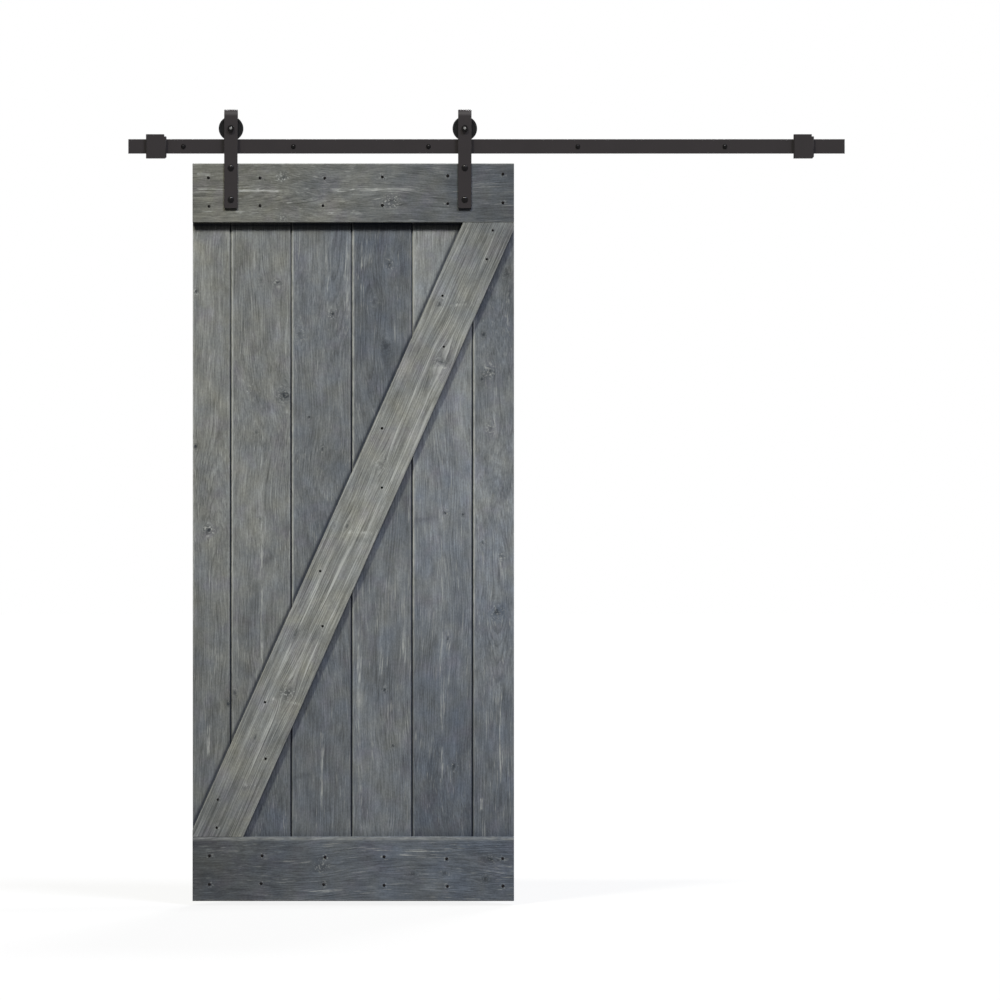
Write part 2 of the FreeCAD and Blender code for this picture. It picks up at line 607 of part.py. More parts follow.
def make_axle_nut(side):
    """Nut on the strap's front, over the axle's end."""
    label = f"{side}_axle_nut"
    body = new_body(label, f"Sizes.{side}_hanger_x", "Sizes.face_y - Sizes.strap_thick", "Sizes.axle_z")
    face = new_sketch(body, f"{label}_face", "XZ_Plane")
    hexagon(face, "Sizes.axle_across_flats")
    circle_at(face, "0", "0", "Sizes.axle_diameter / 2")
    pad(body, face, f"{label}_hexagon", "Sizes.axle_nut_thick")
    bevel_hexagon(body, "Sizes.axle_across_flats", "-Sizes.axle_nut_thick", "+")
    return body


def make_bush(side, place):
    """Tube on the axle that keeps the wheel in the middle of its fork."""
    far, near = "Sizes.fork_half", "(Sizes.wheel_width / 2 + Sizes.bush_play)"
    back, front = (far, near) if place == "back" else (f"-{near}", f"-{far}")
    bore, outside = "Sizes.axle_diameter / 2 + Sizes.axle_play", "Sizes.bush_diameter / 2"
    profile = tube_profile(back, front, bore, outside, "Sizes.bush_chamfer")
    return turned(f"{side}_{place}_bush", f"Sizes.{side}_hanger_x", "Sizes.rail_y", "Sizes.axle_z", profile)


def make_wheel(side):
    """Grooved wheel, bored for its bearing."""
    half, bore, rim = "Sizes.wheel_width / 2", "Sizes.bearing_diameter / 2", "Sizes.wheel_radius"
    floor_half = "(Sizes.rail_thick / 2 + Sizes.groove_play)"
    mouth_half = f"({floor_half} + Sizes.flange_slope)"
    profile = (
        (half, bore), (f"-{half}", bore), (f"-{half}", f"{rim} - Sizes.wheel_chamfer"),
        (f"-{half} + Sizes.wheel_chamfer", rim), (f"-{mouth_half}", rim),
        (f"-{floor_half}", "Sizes.groove_radius"), (floor_half, "Sizes.groove_radius"), (mouth_half, rim),
        (f"{half} - Sizes.wheel_chamfer", rim), (half, f"{rim} - Sizes.wheel_chamfer"),
    )
    return turned(f"{side}_wheel", f"Sizes.{side}_hanger_x", "Sizes.rail_y", "Sizes.axle_z", profile)


def make_bearing(side):
    """Ball bearing as one piece, with its shields set back between the rings."""
    half, outside = "Sizes.wheel_width / 2", "Sizes.bearing_diameter / 2"
    bore = "(Sizes.axle_diameter / 2 + Sizes.axle_play)"
    inner, outer = f"{bore} + Sizes.bearing_ring", f"{outside} - Sizes.bearing_ring"
    shield = f"({half} - Sizes.shield_recess)"
    profile = (
        (half, bore), (f"-{half}", bore), (f"-{half}", inner), (f"-{shield}", inner), (f"-{shield}", outer),
        (f"-{half}", outer), (f"-{half}", outside), (half, outside), (half, outer), (shield, outer),
        (shield, inner), (half, inner),
    )
    return turned(f"{side}_bearing", f"Sizes.{side}_hanger_x", "Sizes.rail_y", "Sizes.axle_z", profile)


def make_boards():
    """Boards from the left edge: a ripped one, the full ones and another ripped one."""
    covers = ["Sizes.board_cover"] * BOARD_COUNT
    covers[0], covers[-1] = "Sizes.left_board_cover", "Sizes.right_board_cover"
    boards = []
    for number, cover in enumerate(covers, start=1):
        left = " + ".join(["Sizes.leaf_left"] + covers[:number - 1])
        boards.append(make_board(number, left, cover))
    return boards


def make_hanger(side):
    """Strap, wheel and everything that holds them together and to the leaf."""
    pieces = [make_strap(side), make_wheel(side), make_bearing(side)]
    pieces += [make_axle_bolt(side), make_axle_nut(side)]
    pieces += [make_bush(side, place) for place in ("front", "back")]
    for level in ("upper", "lower"):
        pieces += [make_hanger_bolt(side, level), make_hanger_nut(side, level)]
    return pieces


def make_track():
    """Rail with its spacers, bolts and stops."""
    pieces = [make_rail()]
    for number, x in enumerate(bolt_places(), start=1):
        pieces += [make_spacer(number, x), make_lag_bolt(number, x)]
    pieces.append(make_stop("left_stop", "Sizes.rail_left + Sizes.left_stop_inset"))
    right_x = "Sizes.rail_left + Sizes.rail_length - Sizes.right_stop_inset - Sizes.stop_width"
    pieces.append(make_stop("right_stop", right_x))
    return pieces


def make_leaf():
    """Boards, ledges and brace."""
    pieces = make_boards()
    top_height, bottom_height = "Sizes.top_ledge_height", "Sizes.bottom_ledge_height"
    pieces.append(make_ledge("top_ledge", f"Sizes.leaf_top - {top_height}", top_height, drilled=True))
    pieces.append(make_ledge("bottom_ledge", "Sizes.leaf_bottom", bottom_height, drilled=False))
    pieces.append(make_brace())
    return pieces


parts = make_track() + make_leaf() + make_hanger("left") + make_hanger("right")
doc.recompute()

for item in doc.Objects:
    if "Invalid" in item.State or "Error" in item.State:
        raise RuntimeError(f"{item.Label} did not build: {item.State}")
for part in parts:
    if part.Shape.isNull() or not part.Shape.isValid() or len(part.Shape.Solids) != 1:
        raise RuntimeError(f"{part.Label} is not one valid solid")

os.makedirs("parts", exist_ok=True)
for part in parts:
    part.Shape.exportStep(f"parts/{part.Label}.step")
print(f"{len(parts)} sub-parts")
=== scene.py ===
"""Sliding ledged and braced door: pine, steel and stage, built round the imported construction."""

import math
from dataclasses import dataclass
from functools import partial

import bmesh
import bpy
import numpy as np
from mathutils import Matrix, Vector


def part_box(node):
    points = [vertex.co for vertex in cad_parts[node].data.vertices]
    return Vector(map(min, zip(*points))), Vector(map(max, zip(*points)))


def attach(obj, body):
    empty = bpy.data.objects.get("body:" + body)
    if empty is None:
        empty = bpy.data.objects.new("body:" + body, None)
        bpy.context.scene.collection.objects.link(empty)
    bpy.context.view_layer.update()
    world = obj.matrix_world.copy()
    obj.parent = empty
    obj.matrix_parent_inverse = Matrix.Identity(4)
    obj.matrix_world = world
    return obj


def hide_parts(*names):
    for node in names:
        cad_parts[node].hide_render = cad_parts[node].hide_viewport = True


bl_info = {
    "name": "Sliding Ledged and Braced Door",
    "version": (1, 0, 0),
    "blender": (4, 5, 0),
    "location": "3D View > Sidebar > Door",
    "description": "Grey stained pine leaf hung by two strap hangers from a black wall rail",
    "category": "Object",
}

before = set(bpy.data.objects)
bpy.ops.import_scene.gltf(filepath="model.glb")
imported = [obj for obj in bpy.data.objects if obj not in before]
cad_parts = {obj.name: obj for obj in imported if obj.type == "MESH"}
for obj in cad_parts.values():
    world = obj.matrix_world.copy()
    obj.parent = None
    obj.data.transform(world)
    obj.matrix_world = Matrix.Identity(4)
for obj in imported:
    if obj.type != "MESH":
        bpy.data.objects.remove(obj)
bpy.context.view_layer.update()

# Numbers here and in the tables are millimetres in the door's frame: X along the rail, Y into the
# wall, Z up. RECESS and BOLT_HOLE are radii, and CORNERS go round a square.
MM = 0.001
SIDES = ("left", "right")
CORNERS = ((1, 1), (-1, 1), (-1, -1), (1, -1))
LAST_BOARD = 6
LEAF_FACE, BOARD_FACE, LEAF_BACK, LEAF_FOOT = -48.0, -29.0, -10.0, -2146.9
VEE, TONGUE, TONGUE_THICK, TONGUE_SETBACK, TONGUE_PLAY = 4.0, 8.0, 6.0, 6.0, 0.3
BRACE_WIDTH = 139.7
STRAP_WIDTH, STRAP_THICK, BACK_LEG_DROP = 38.1, 6.0, 19.0
RECESS, BOLT_HOLE = 10, 4.25
HANGER_X = (-561.7, 103.5)
HANGER_BOLT_Z = (-61.9, -151.9)
AXLE_Y, AXLE_Z = -34.0, 50.8
LAG_X = (-697.3, -384.5, 0.0, 424.9, 843.5)


def linear(code):
    """Linear colour of an sRGB hex code."""
    channels = [int(code[place:place + 2], 16) / 255 for place in (0, 2, 4)]
    return tuple(c / 12.92 if c <= 0.04045 else ((c + 0.055) / 1.055) ** 2.4 for c in channels)


def colour(name, description, code):
    """Colour setting with its default as an sRGB hex code."""
    return bpy.props.FloatVectorProperty(
        name=name, description=description, subtype="COLOR", size=3, min=0, max=1, default=linear(code))


def length(name, description, millimetres):
    """Length setting with its default in millimetres."""
    return bpy.props.FloatProperty(
        name=name, description=description, unit="LENGTH", subtype="DISTANCE", min=0,
        default=millimetres * MM)


def share(name, description, default):
    """Setting from nothing to full."""
    return bpy.props.FloatProperty(
        name=name, description=description, subtype="FACTOR", min=0, max=1, default=default)


class DoorWood(bpy.types.PropertyGroup):
    """Stain, grain and worn arrises of the pine, with its painted highlights and painted shade."""

    warm_stain: colour("Warm stain", "Stain where it took olive grey", "7C7C73")
    slate_stain: colour("Slate stain", "Stain where it took blue grey", "656D78")
    violet_stain: colour("Violet stain", "Faint violet cast in soft patches", "706C79")
    bare_fibre: colour("Brushed fibre", "Pale fibre that the brush laid open", "B0B2AD")
    knot_heart: colour("Knot heart", "Dark heart of a knot", "2E3236")
    # Also the colour of the painted shade and shadow: on the joints' shaded bevels, under the top ledge, over the
    # bottom one and along the brace.
    joint_dirt_and_shade: colour("Corner dirt", "Stain and dirt gathered in corners and joints", "121825")
    ring_spacing: length("Ring spacing", "From one growth ring to the next", 4.6)
    fibre_width: length("Fibre width", "Width of the brushed fibres, drawn coarse enough to show", 3.0)
    joint_gap: length("Joint gap", "Air between two boards at the foot of their V", 0.9)
    # It also sets the painted highlights on the boards' left-facing bevels and on the bottom ledge's top arris.
    wear_and_highlight: share("Worn arrises", "How far the stain is rubbed off the front arrises", 0.35)
    relief: length("Grain relief", "Late wood standing proud after brushing", 0.35)


class DoorSteel(bpy.types.PropertyGroup):
    """Coatings of the metal and the nylon."""

    powder_coat: colour("Powder coat", "Rail, stops, spacers and straps", "1E1A1B")
    black_oxide: colour("Black oxide", "Bolts, nuts and nail heads", "0E0C0D")
    zinc: colour("Zinc plating", "Bushes and the axles' faced ends", "7E7E7C")
    bearing_steel: colour("Bearing steel", "Rings and shields of the bearings", "A9A9A6")
    nylon: colour("Nylon", "Wheels", "121213")
    coat_roughness: share("Coat roughness", "Satin of the powder coat", 0.6)
    strap_ease: length("Strap ease", "Rounding of the straps' long edges", 1.0)


class DoorNails(bpy.types.PropertyGroup):
    """Nails through ledges and brace."""

    head: length("Head diameter", "Across a nail's domed head", 9.2)
    rise: length("Head rise", "A head's crown over the wood", 1.0)
    seed: bpy.props.IntProperty(name="Seed", description="Chance behind small differences of size", default=7)


class DoorStage(bpy.types.PropertyGroup):
    """Studio light and floor."""

    right_light: share("Right light", "Part of the face's light that comes from high on the right", 0.51)
    left_light: share("Left light", "Part of the face's light that comes from high on the left", 0.45)
    sky: share("Room light", "Soft light from all round", 0.05)
    floor_drop: length("Floor drop", "Floor under the leaf's foot", 12)


# One piece of pine. lean is the grain's lean from upright in degrees, 90 where it runs across.
# pith is where the tree's middle lay: across from the piece's middle, behind its face, and the
# widening of that distance in mm per metre. light and cool are the lightness and the blueness at
# the grain's start, at the middle and at its end; most boards are darker towards the foot. sway
# says how far the grain wanders.
@dataclass
class Plank:
    node: str
    slot: str
    lean: float
    pith: tuple
    light: tuple
    cool: tuple
    seed: int
    sway: float = 1.0


PLANKS = {plank.node: plank for plank in (
    Plank("board_1", "board_pine", 0, (18, 42, 16), (0.53, 0.91, 1.0), (0.50, 0.32, 0.22), 11),
    Plank("board_2", "board_pine", 0, (-6, 30, -11), (0.54, 0.93, 0.89), (0.52, 0.33, 0.36), 23),
    Plank("board_3", "board_pine", 0, (34, 52, 9), (0.59, 0.73, 0.91), (0.72, 0.56, 0.56), 37),
    Plank("board_4", "board_pine", 0, (-22, 46, -18), (0.75, 0.80, 0.63), (0.62, 0.60, 0.74), 41),
    Plank("board_5", "board_pine", 0, (-4, 34, 14), (0.39, 1.01, 1.21), (0.88, 0.66, 0.34), 53),
    Plank("board_6", "board_pine", 0, (12, 38, -9), (0.48, 1.08, 0.51), (0.82, 0.60, 0.68), 67),
    Plank("top_ledge", "ledge_pine", 90, (8, 44, 12), (0.70, 0.74, 0.49), (0.04, 0.32, 0.70), 71),
    Plank("bottom_ledge", "ledge_pine", 90, (-14, 50, -10), (0.33, 0.57, 0.55), (0.62, 0.74, 0.94), 83),
    Plank("brace", "brace_pine", 24.02, (-112, 36, 3), (0.85, 1.09, 1.11), (0.22, 0.26, 0.30), 97, 0.2),
)}

# Knots: X, Z, half width across the grain, half length along it, darkness, pale flecks round it.
KNOTS = {
    "board_1": (
        (-662, -412, 5, 6, 0.78, 0.8), (-663, -854, 6, 8, 0.95, 0.1), (-625, -1092, 8, 10, 0.91, 1),
        (-570, -1586, 5, 9, 0.95, 0.2),),
    "board_2": (
        (-476, -379, 6, 8, 0.45, 0.2), (-428, -386, 8, 5, 0.72, 0.7), (-407, -709, 15, 12, 0.95, 0.5),
        (-490, -812, 5, 6, 0.52, 0.3), (-479, -1062, 4, 6, 0.52, 0.4), (-551, -1555, 5, 8, 0.65, 0.2),
        (-514, -690, 4, 5, 0.26, 1),),
    "board_3": (
        (-273, -476, 6, 7, 0.91, 1), (-340, -770, 4, 5, 0.91, 0.2), (-302, -861, 4, 6, 0.65, 0.3),
        (-368, -534, 9, 12, 0.33, 0.4),),
    "board_4": (
        (-110, -336, 7, 9, 0.65, 0.5), (-155, -443, 8, 9, 0.45, 0.2), (-121, -567, 11, 14, 0.72, 0.1),
        (-125, -1547, 4, 6, 0.91, 0.3), (-101, -1706, 4, 5, 0.91, 0.3),),
    "board_5": (
        (48, -1043, 5, 5, 0.95, 0.7), (98, -1047, 4, 4, 0.91, 0.2), (55, -1402, 4, 6, 0.65, 0.3),
        (73, -1763, 5, 7, 0.78, 0.8),),
    "board_6": (
        (223, -365, 7, 9, 0.65, 0.3), (157, -534, 5, 6, 0.78, 0.2), (173, -638, 8, 10, 0.65, 0.9),
        (152, -662, 4, 5, 0.78, 0.2), (154, -1128, 5, 6, 0.65, 0.4), (206, -1165, 6, 8, 0.59, 0.8),
        (194, -1323, 10, 12, 0.78, 0.5), (178, -800, 7, 8, 0.39, 0.9),),
    "top_ledge": (
        (-412, -89, 7, 9, 0.55, 1), (-410, -204, 5, 7, 0.45, 0.8), (-129, -90, 5, 7, 0.65, 0.3),
        (-105, -155, 9, 11, 0.35, 1),),
    "bottom_ledge": (
        (-304, -2049, 9, 10, 0.39, 0.4), (-44, -2070, 6, 10, 0.52, 0.2), (46, -2068, 6, 9, 0.65, 0.3),
        (176, -2029, 7, 9, 0.95, 0.3), (162, -2082, 7, 8, 0.91, 0.2),),
    "brace": (
        (32, -449, 6, 8, 0.65, 0.5), (37, -614, 14, 6, 0.59, 0.6), (-231, -1080, 5, 8, 0.59, 0.2),
        (-268, -1080, 4, 7, 0.52, 0.3), (-136, -904, 9, 9, 0.33, 0.7), (-377, -1387, 4, 14, 0.59, 0.2),
        (-399, -1555, 12, 10, 0.39, 0.8), (-492, -1680, 4, 15, 0.65, 0.2),),
}

# Soft patches of stain: X, Z, half width, half height, turn in degrees, change of lightness, of
# blueness.
PATCHES = {
    "board_1": (
        (-640, -320, 26, 90, 0, 0.07, -0.08), (-650, -960, 14, 70, 0, -0.09, 0.05),),
    "board_2": (
        (-480, -720, 45, 10, -38, -0.16, 0.1), (-457, -1174, 26, 9, 40, -0.26, 0.05),
        (-410, -709, 26, 34, 0, -0.13, 0.2), (-500, -1350, 30, 120, 0, -0.08, 0.1),
        (-448, -1500, 60, 220, 0, -0.07, 0), (-440, -1920, 60, 130, 0, -0.1, 0.35),),
    "board_3": (
        (-363, -1791, 24, 7, 12, -0.33, 0), (-262, -330, 40, 120, 0, -0.07, 0.14),
        (-330, -620, 40, 90, 0, 0.08, -0.05),),
    "board_4": (
        (-121, -575, 24, 34, 0, -0.13, 0.1), (-193, -1579, 12, 30, 0, 0.21, -0.2),
        (-70, -1350, 34, 150, 0, 0.07, -0.08),),
    "board_5": (
        (-15, -1062, 30, 8, 8, -0.23, 0.1), (30, -1240, 40, 120, 0, 0.03, -0.15),
        (80, -1650, 30, 110, 0, -0.07, 0.15),),
    "board_6": (
        (205, -1325, 26, 26, 0, -0.16, 0.25), (150, -1000, 22, 60, 0, 0.1, -0.05),
        (220, -1600, 24, 80, 0, -0.1, 0.2),),
    "top_ledge": (
        (-254, -162, 60, 16, 0, 0.18, -0.2), (-640, -110, 40, 40, 0, 0.05, -0.15),
        (-430, -190, 40, 14, 0, 0.07, 0.05), (-340, -100, 50, 18, 0, -0.07, 0.1),),
    "bottom_ledge": (
        (-620, -2060, 60, 70, 0, -0.05, -0.1), (60, -1990, 160, 18, 0, 0.1, 0.1),),
    "brace": (
        (104, -448, 60, 7, 0, -0.21, 0.05), (-186, -1120, 40, 7, -8, -0.21, 0),
        (-398, -1556, 24, 20, 0, -0.21, 0.15), (-498, -1820, 46, 8, 6, -0.26, 0.05),
        (40, -600, 20, 14, 0, -0.2, 0.1), (-602, -1900, 80, 90, 0, -0.31, 0.1),
        (205, -275, 80, 100, 0, -0.3, 0.1),),
}

# Bands where the brush laid pale fibre open: start X, Z, end X, Z, half width, strength.
PALE_BANDS = {
    "board_1": (
        (-624, -560, -622, -700, 6, 0.7), (-625, -1640, -625, -1740, 6, 0.8), (-645, -250, -640, -420, 10, 0.4),),
    "board_2": (
        (-476, -780, -474, -1520, 7, 0.65), (-500, -260, -500, -420, 9, 0.4), (-404, -420, -402, -640, 7, 0.7),),
    "board_3": (
        (-305, -1640, -303, -1950, 7, 0.6), (-232, -240, -232, -520, 9, 0.7), (-290, -260, -286, -420, 8, 0.4),),
    "board_4": (
        (-198, -1200, -197, -1930, 8, 0.55), (-73, -1240, -71, -1480, 9, 0.6),
        (-134, -1418, -134, -1506, 5, 0.7), (-190, -240, -190, -460, 6, 0.5),),
    "board_5": (
        (38, -820, 38, -1950, 7, 0.45), (56, -1350, 60, -1600, 5, 0.5), (-30, -230, -30, -300, 10, 0.8),),
    "board_6": (
        (203, -1520, 204, -1830, 8, 0.65), (152, -1850, 152, -1890, 7, 0.8), (195, -1150, 215, -1240, 8, 0.8),
        (190, -660, 190, -900, 8, 0.5), (225, -420, 225, -600, 7, 0.4),),
    "top_ledge": (
        (-660, -122, -545, -125, 5, 0.9), (-548, -126, -412, -127, 4, 1.3), (-290, -125, -30, -122, 6, 1),
        (-660, -78, -620, -80, 5, 0.8), (-300, -190, -180, -190, 5, 0.7), (110, -128, 236, -132, 5, 0.5),),
    "bottom_ledge": (
        (-200, -2000, 80, -2004, 7, 0.6), (-100, -2016, 60, -2018, 5, 0.45), (-640, -2000, -520, -2000, 5, 0.4),
        (-420, -2120, -250, -2118, 5, 0.5),),
    "brace": (
        (-560, -1890, -40, -720, 8, 0.7), (-420, -1660, 120, -440, 7, 0.8), (-250, -1330, 170, -380, 6, 0.6),
        (-480, -1620, -250, -1100, 6, 0.8), (-200, -1060, 60, -480, 9, 0.7), (48, -454, 136, -447, 6, 0.7),
        (-25, -632, 60, -629, 6, 0.7), (-237, -1097, -154, -1100, 6, 0.7), (-456, -1570, -357, -1588, 6, 0.7),
        (-546, -1815, -466, -1821, 6, 0.7),),
}

# Nails through the ledges and the brace: X, Z.
LEDGE_NAILS = (
    (-626, -90), (-479, -90), (-295, -91), (-131, -87), (55, -84), (212, -79),
    (-624, -171), (-479, -169), (-300, -169), (-131, -168), (55, -163), (212, -161),
    (-623, -2018), (-473, -2018), (-294, -2022), (-126, -2021), (52, -2027), (211, -2026),
    (-623, -2099), (-476, -2097), (-298, -2100), (-126, -2102), (54, -2105), (212, -2104),
)
BRACE_NAILS = (
    (183, -239), (166, -321), (40, -425), (44, -570), (-132, -802), (-132, -971),
    (-308, -1208), (-301, -1365), (-465, -1581), (-463, -1742), (-599, -1858), (-602, -1938),
)


def node(tree, kind, inputs=(), **values):
    """Add a node with its settings and links.

    inputs gives the sockets their values or sources, in the order of those in use, or by name or
    number. A source is an output, or a node whose first output in use is meant.
    """
    made = tree.nodes.new(kind if "Node" in kind else f"ShaderNode{kind}")
    for name, value in values.items():
        setattr(made, name, value)
    if isinstance(inputs, dict):
        given = [(made.inputs[socket], value) for socket, value in inputs.items()]
    else:
        given = zip([socket for socket in made.inputs if socket.enabled], inputs)
    for socket, value in given:
        if isinstance(value, bpy.types.Node):
            value = next(output for output in value.outputs if output.enabled)
        if isinstance(value, bpy.types.NodeSocket):
            tree.links.new(value, socket)
        else:
            socket.default_value = value
    return made


def fresh_material(name):
    """Empty node material, and node() for its tree."""
    material = bpy.data.materials.new(name)
    material.use_nodes = True
    material.node_tree.nodes.clear()
    return material, partial(node, material.node_tree)


# Pine, sawn flat, brushed along the grain and wiped with a grey weathering stain: matt, with soft
# patches of colour, hard late wood a little proud and thin pale fibres where the brush went deep.
# grain holds each point's place in the tree, knot its place round the nearest knot and that one's
# darkness, tone its lightness, its blueness and its dirt with painted shade and shadow, and mark its
# pale fibre, its worn arrises with painted highlights, and its flecks.
def stained_pine(name, ring_depth, fibre_depth, pale, run):
    """Pine that reads grain, knots and stain from the piece's attributes; run stretches its fibres."""
    wood = bpy.context.scene.door_wood
    material, add = fresh_material(name)
    grain, *others = (add("Attribute", attribute_name=kept).outputs["Vector"]
                      for kept in ("grain", "knot", "tone", "mark"))
    knot, tone, mark = (add("SeparateXYZ", (other,)).outputs for other in others)
    place = add("TexCoord").outputs["Object"]

    # Noise of many sizes: its source and unit, its lumps across and along, its detail, and the
    # stretch of it that is spread from one value to another. Each is read at a place apart.
    width = wood.fibre_width / MM
    layers = {
        "wander": (grain, 1, 26, 210, 3, 0, 1, 0, 9),
        "ring show": (grain, 1, 60, 420, 1, 0.35, 0.68, 0, 1),
        "fine": (grain, 1, width, width * 24 * run, 2, 0.32, 0.68, -1, 1),
        "stripe": (grain, 1, width * 3.4, width * 70 * run, 2, 0.3, 0.7, -1, 1),
        "thread": (grain, 1, width * 1.1, width * 40 * run, 2, 0, 1, 0, 1),
        "broken": (grain, 1, width * 4, width * 14 * run, 2, 0.38, 0.6, 0, 1),
        "dark thread": (grain, 1, width * 0.9, width * 34 * run, 2, 0.6, 0.68, 0, 1),
        "hue": (place, MM, 70, 70, 2, 0.25, 0.75, -0.2, 0.2),
        "violet": (place, MM, 62, 62, 2, 0.5, 0.75, 0, 0.32),
        "cloud": (grain, 1, 30, 80, 3, 0.25, 0.75, 0.74, 1.26),
        "speckle": (grain, 1, 3.6, 6.5, 2, 0.3, 0.7, -1, 1),
        "rub_and_highlight": (grain, 1, 5, 26, 2, 0.3, 0.62, 0.35, 1),
        "ripple": (place, MM, 8, 8, 3, 0.3, 0.7, -0.35, 0.35),
        "crumbs": (place, MM, 5.5, 5.5, 2, 0.54, 0.68, 0, 1),
    }
    layer = {}
    for number, (title, (source, measure, across, along, detail, *spread)) in enumerate(layers.items()):
        across, along = 1 / (across * measure), 1 / (along * measure)
        apart = (7.3 * number,) * 3
        mapped = add("Mapping", {"Vector": source, "Location": apart, "Scale": (across, along, across)})
        layer[title] = add("MapRange", (add("TexNoise", (mapped, 1, detail, 0.55)), *spread))

    # Knots: how far each point lies from its nearest one, in the knot's own half widths.
    knot_line = add("VectorMath", (add("CombineXYZ", (knot[0], knot[1])),), operation="LENGTH")
    knot_far = add("Math", (knot_line, layer["ripple"]), operation="ADD")
    beyond = add("MapRange", (knot_far, 1, 2.4, 1, 0), interpolation_type="SMOOTHSTEP")
    beyond = add("Math", (beyond, add("MapRange", (knot[2], 0, 0.15, 0, 1))), operation="MULTIPLY")
    beyond = add("Math", (1, beyond), operation="SUBTRACT")

    # Growth rings: the distance from the pith, a little unsteady, with pale early wood and thin late
    # wood that fades out towards a knot.
    pith_line = add("VectorMath", (grain, (1, 0, 1)), operation="MULTIPLY")
    radius = add("VectorMath", (pith_line,), operation="LENGTH")
    unsteady = add("Math", (radius, layer["wander"]), operation="ADD")
    turns = add("Math", (unsteady, wood.ring_spacing / MM), operation="DIVIDE")
    turn = add("Math", (turns,), operation="FRACT")
    ring_dark = add("Math", (layer["ring show"], beyond), operation="MULTIPLY")
    for spread in ((0.45, 0.88, 0, 1), (0.9, 1, 1, 0)):
        part = add("MapRange", (turn, *spread), interpolation_type="SMOOTHSTEP")
        ring_dark = add("Math", (ring_dark, part), operation="MULTIPLY")

    # Pale fibres: thin broken ones here and there, closer and more whole where the piece is marked.
    gathered = add("Math", (mark[0], 0.24, layer["thread"]), operation="MULTIPLY_ADD")
    pale_fibre = add("MapRange", (gathered, 0.6, 0.68, 0, pale), interpolation_type="SMOOTHSTEP")
    whole = add("Math", (mark[0], 0.6), operation="MULTIPLY")
    unbroken = add("Math", (layer["broken"], whole), operation="MAXIMUM")
    strong = add("Math", (mark[0], 0.5, 0.5), operation="MULTIPLY_ADD")
    thin_stain = add("MapRange", (tone[0], 0.3, 0.8, 0.35, 1))
    for part in (unbroken, strong, beyond, thin_stain):
        pale_fibre = add("Math", (pale_fibre, part), operation="MULTIPLY")

    # Lightness: what the piece says, times soft clouds, and times what each fine layer adds or takes.
    light = add("Math", (tone[0], layer["cloud"]), operation="MULTIPLY")
    for source, gain, level in ((layer["fine"], fibre_depth, 1), (layer["stripe"], fibre_depth * 0.3, 1),
                                (layer["speckle"], 0.13, 1), (ring_dark, -ring_depth, 1 + ring_depth * 0.2),
                                (layer["dark thread"], -1.3 * fibre_depth, 1)):
        factor = add("Math", (source, gain, level), operation="MULTIPLY_ADD")
        light = add("Math", (light, factor), operation="MULTIPLY")

    # Knots have a dark heart with an uneven rim, thin rings round it and scattered pale flecks.
    heart, halo = (add("MapRange", (knot_far, *spread), interpolation_type="SMOOTHSTEP")
                   for spread in ((0.35, 1.15, 1, 0), (0.9, 2.8, 1, 0)))
    ringed = add("Math", (add("Math", (knot_far, 7.5), operation="MULTIPLY"),), operation="SINE")
    ringed = add("MapRange", (ringed, -0.2, 1, 0.12, 0.5))
    halo = add("Math", (halo, ringed), operation="MULTIPLY")
    knot_dark = add("Math", (heart, halo), operation="MAXIMUM")
    knot_dark = add("Math", (knot_dark, knot[2]), operation="MULTIPLY")
    flecks = add("Math", (layer["crumbs"], mark[2]), operation="MULTIPLY", use_clamp=True)
    rubbed_and_lit = add("Math", (mark[1], layer["rub_and_highlight"]), operation="MULTIPLY")
    worn_and_lit = add("Math", (rubbed_and_lit, wood.wear_and_highlight), operation="MULTIPLY", use_clamp=True)

    # Stain: warm to slate, with a violet cast in patches, darkened and lightened, then everything
    # that lies over it in turn: pale fibre, knots, flecks, worn arrises with painted highlights, and
    # dirt with painted shade and shadow.
    cool = add("Math", (tone[1], layer["hue"]), operation="ADD", use_clamp=True)
    stain = (*wood.warm_stain, 1)
    for cover, tint in ((cool, wood.slate_stain), (layer["violet"], wood.violet_stain)):
        stain = add("Mix", (cover, stain, (*tint, 1)), data_type="RGBA")
    stain = add("VectorMath", (stain, light), operation="SCALE")
    for cover, tint in ((pale_fibre, wood.bare_fibre), (knot_dark, wood.knot_heart), (flecks, wood.bare_fibre),
                        (worn_and_lit, wood.bare_fibre), (tone[2], wood.joint_dirt_and_shade)):
        stain = add("Mix", (cover, stain, (*tint, 1)), data_type="RGBA")

    # Relief of the brushing, and a little more gloss on the hard late wood.
    height = add("Math", (layer["fine"], 0.35), operation="MULTIPLY")
    for source, gain in ((ring_dark, 0.6), (pale_fibre, -0.6), (flecks, -0.5), (layer["speckle"], 0.15)):
        height = add("Math", (source, gain, height), operation="MULTIPLY_ADD")
    bump = add("Bump", {"Strength": 0.6, "Distance": wood.relief, "Height": height})
    rough = add("Math", (ring_dark, -0.1, 0.8), operation="MULTIPLY_ADD")
    surface = add("BsdfPrincipled", {
        "Base Color": stain, "Roughness": rough, "Normal": bump, "Specular IOR Level": 0.12})
    add("OutputMaterial", (surface,))
    return material


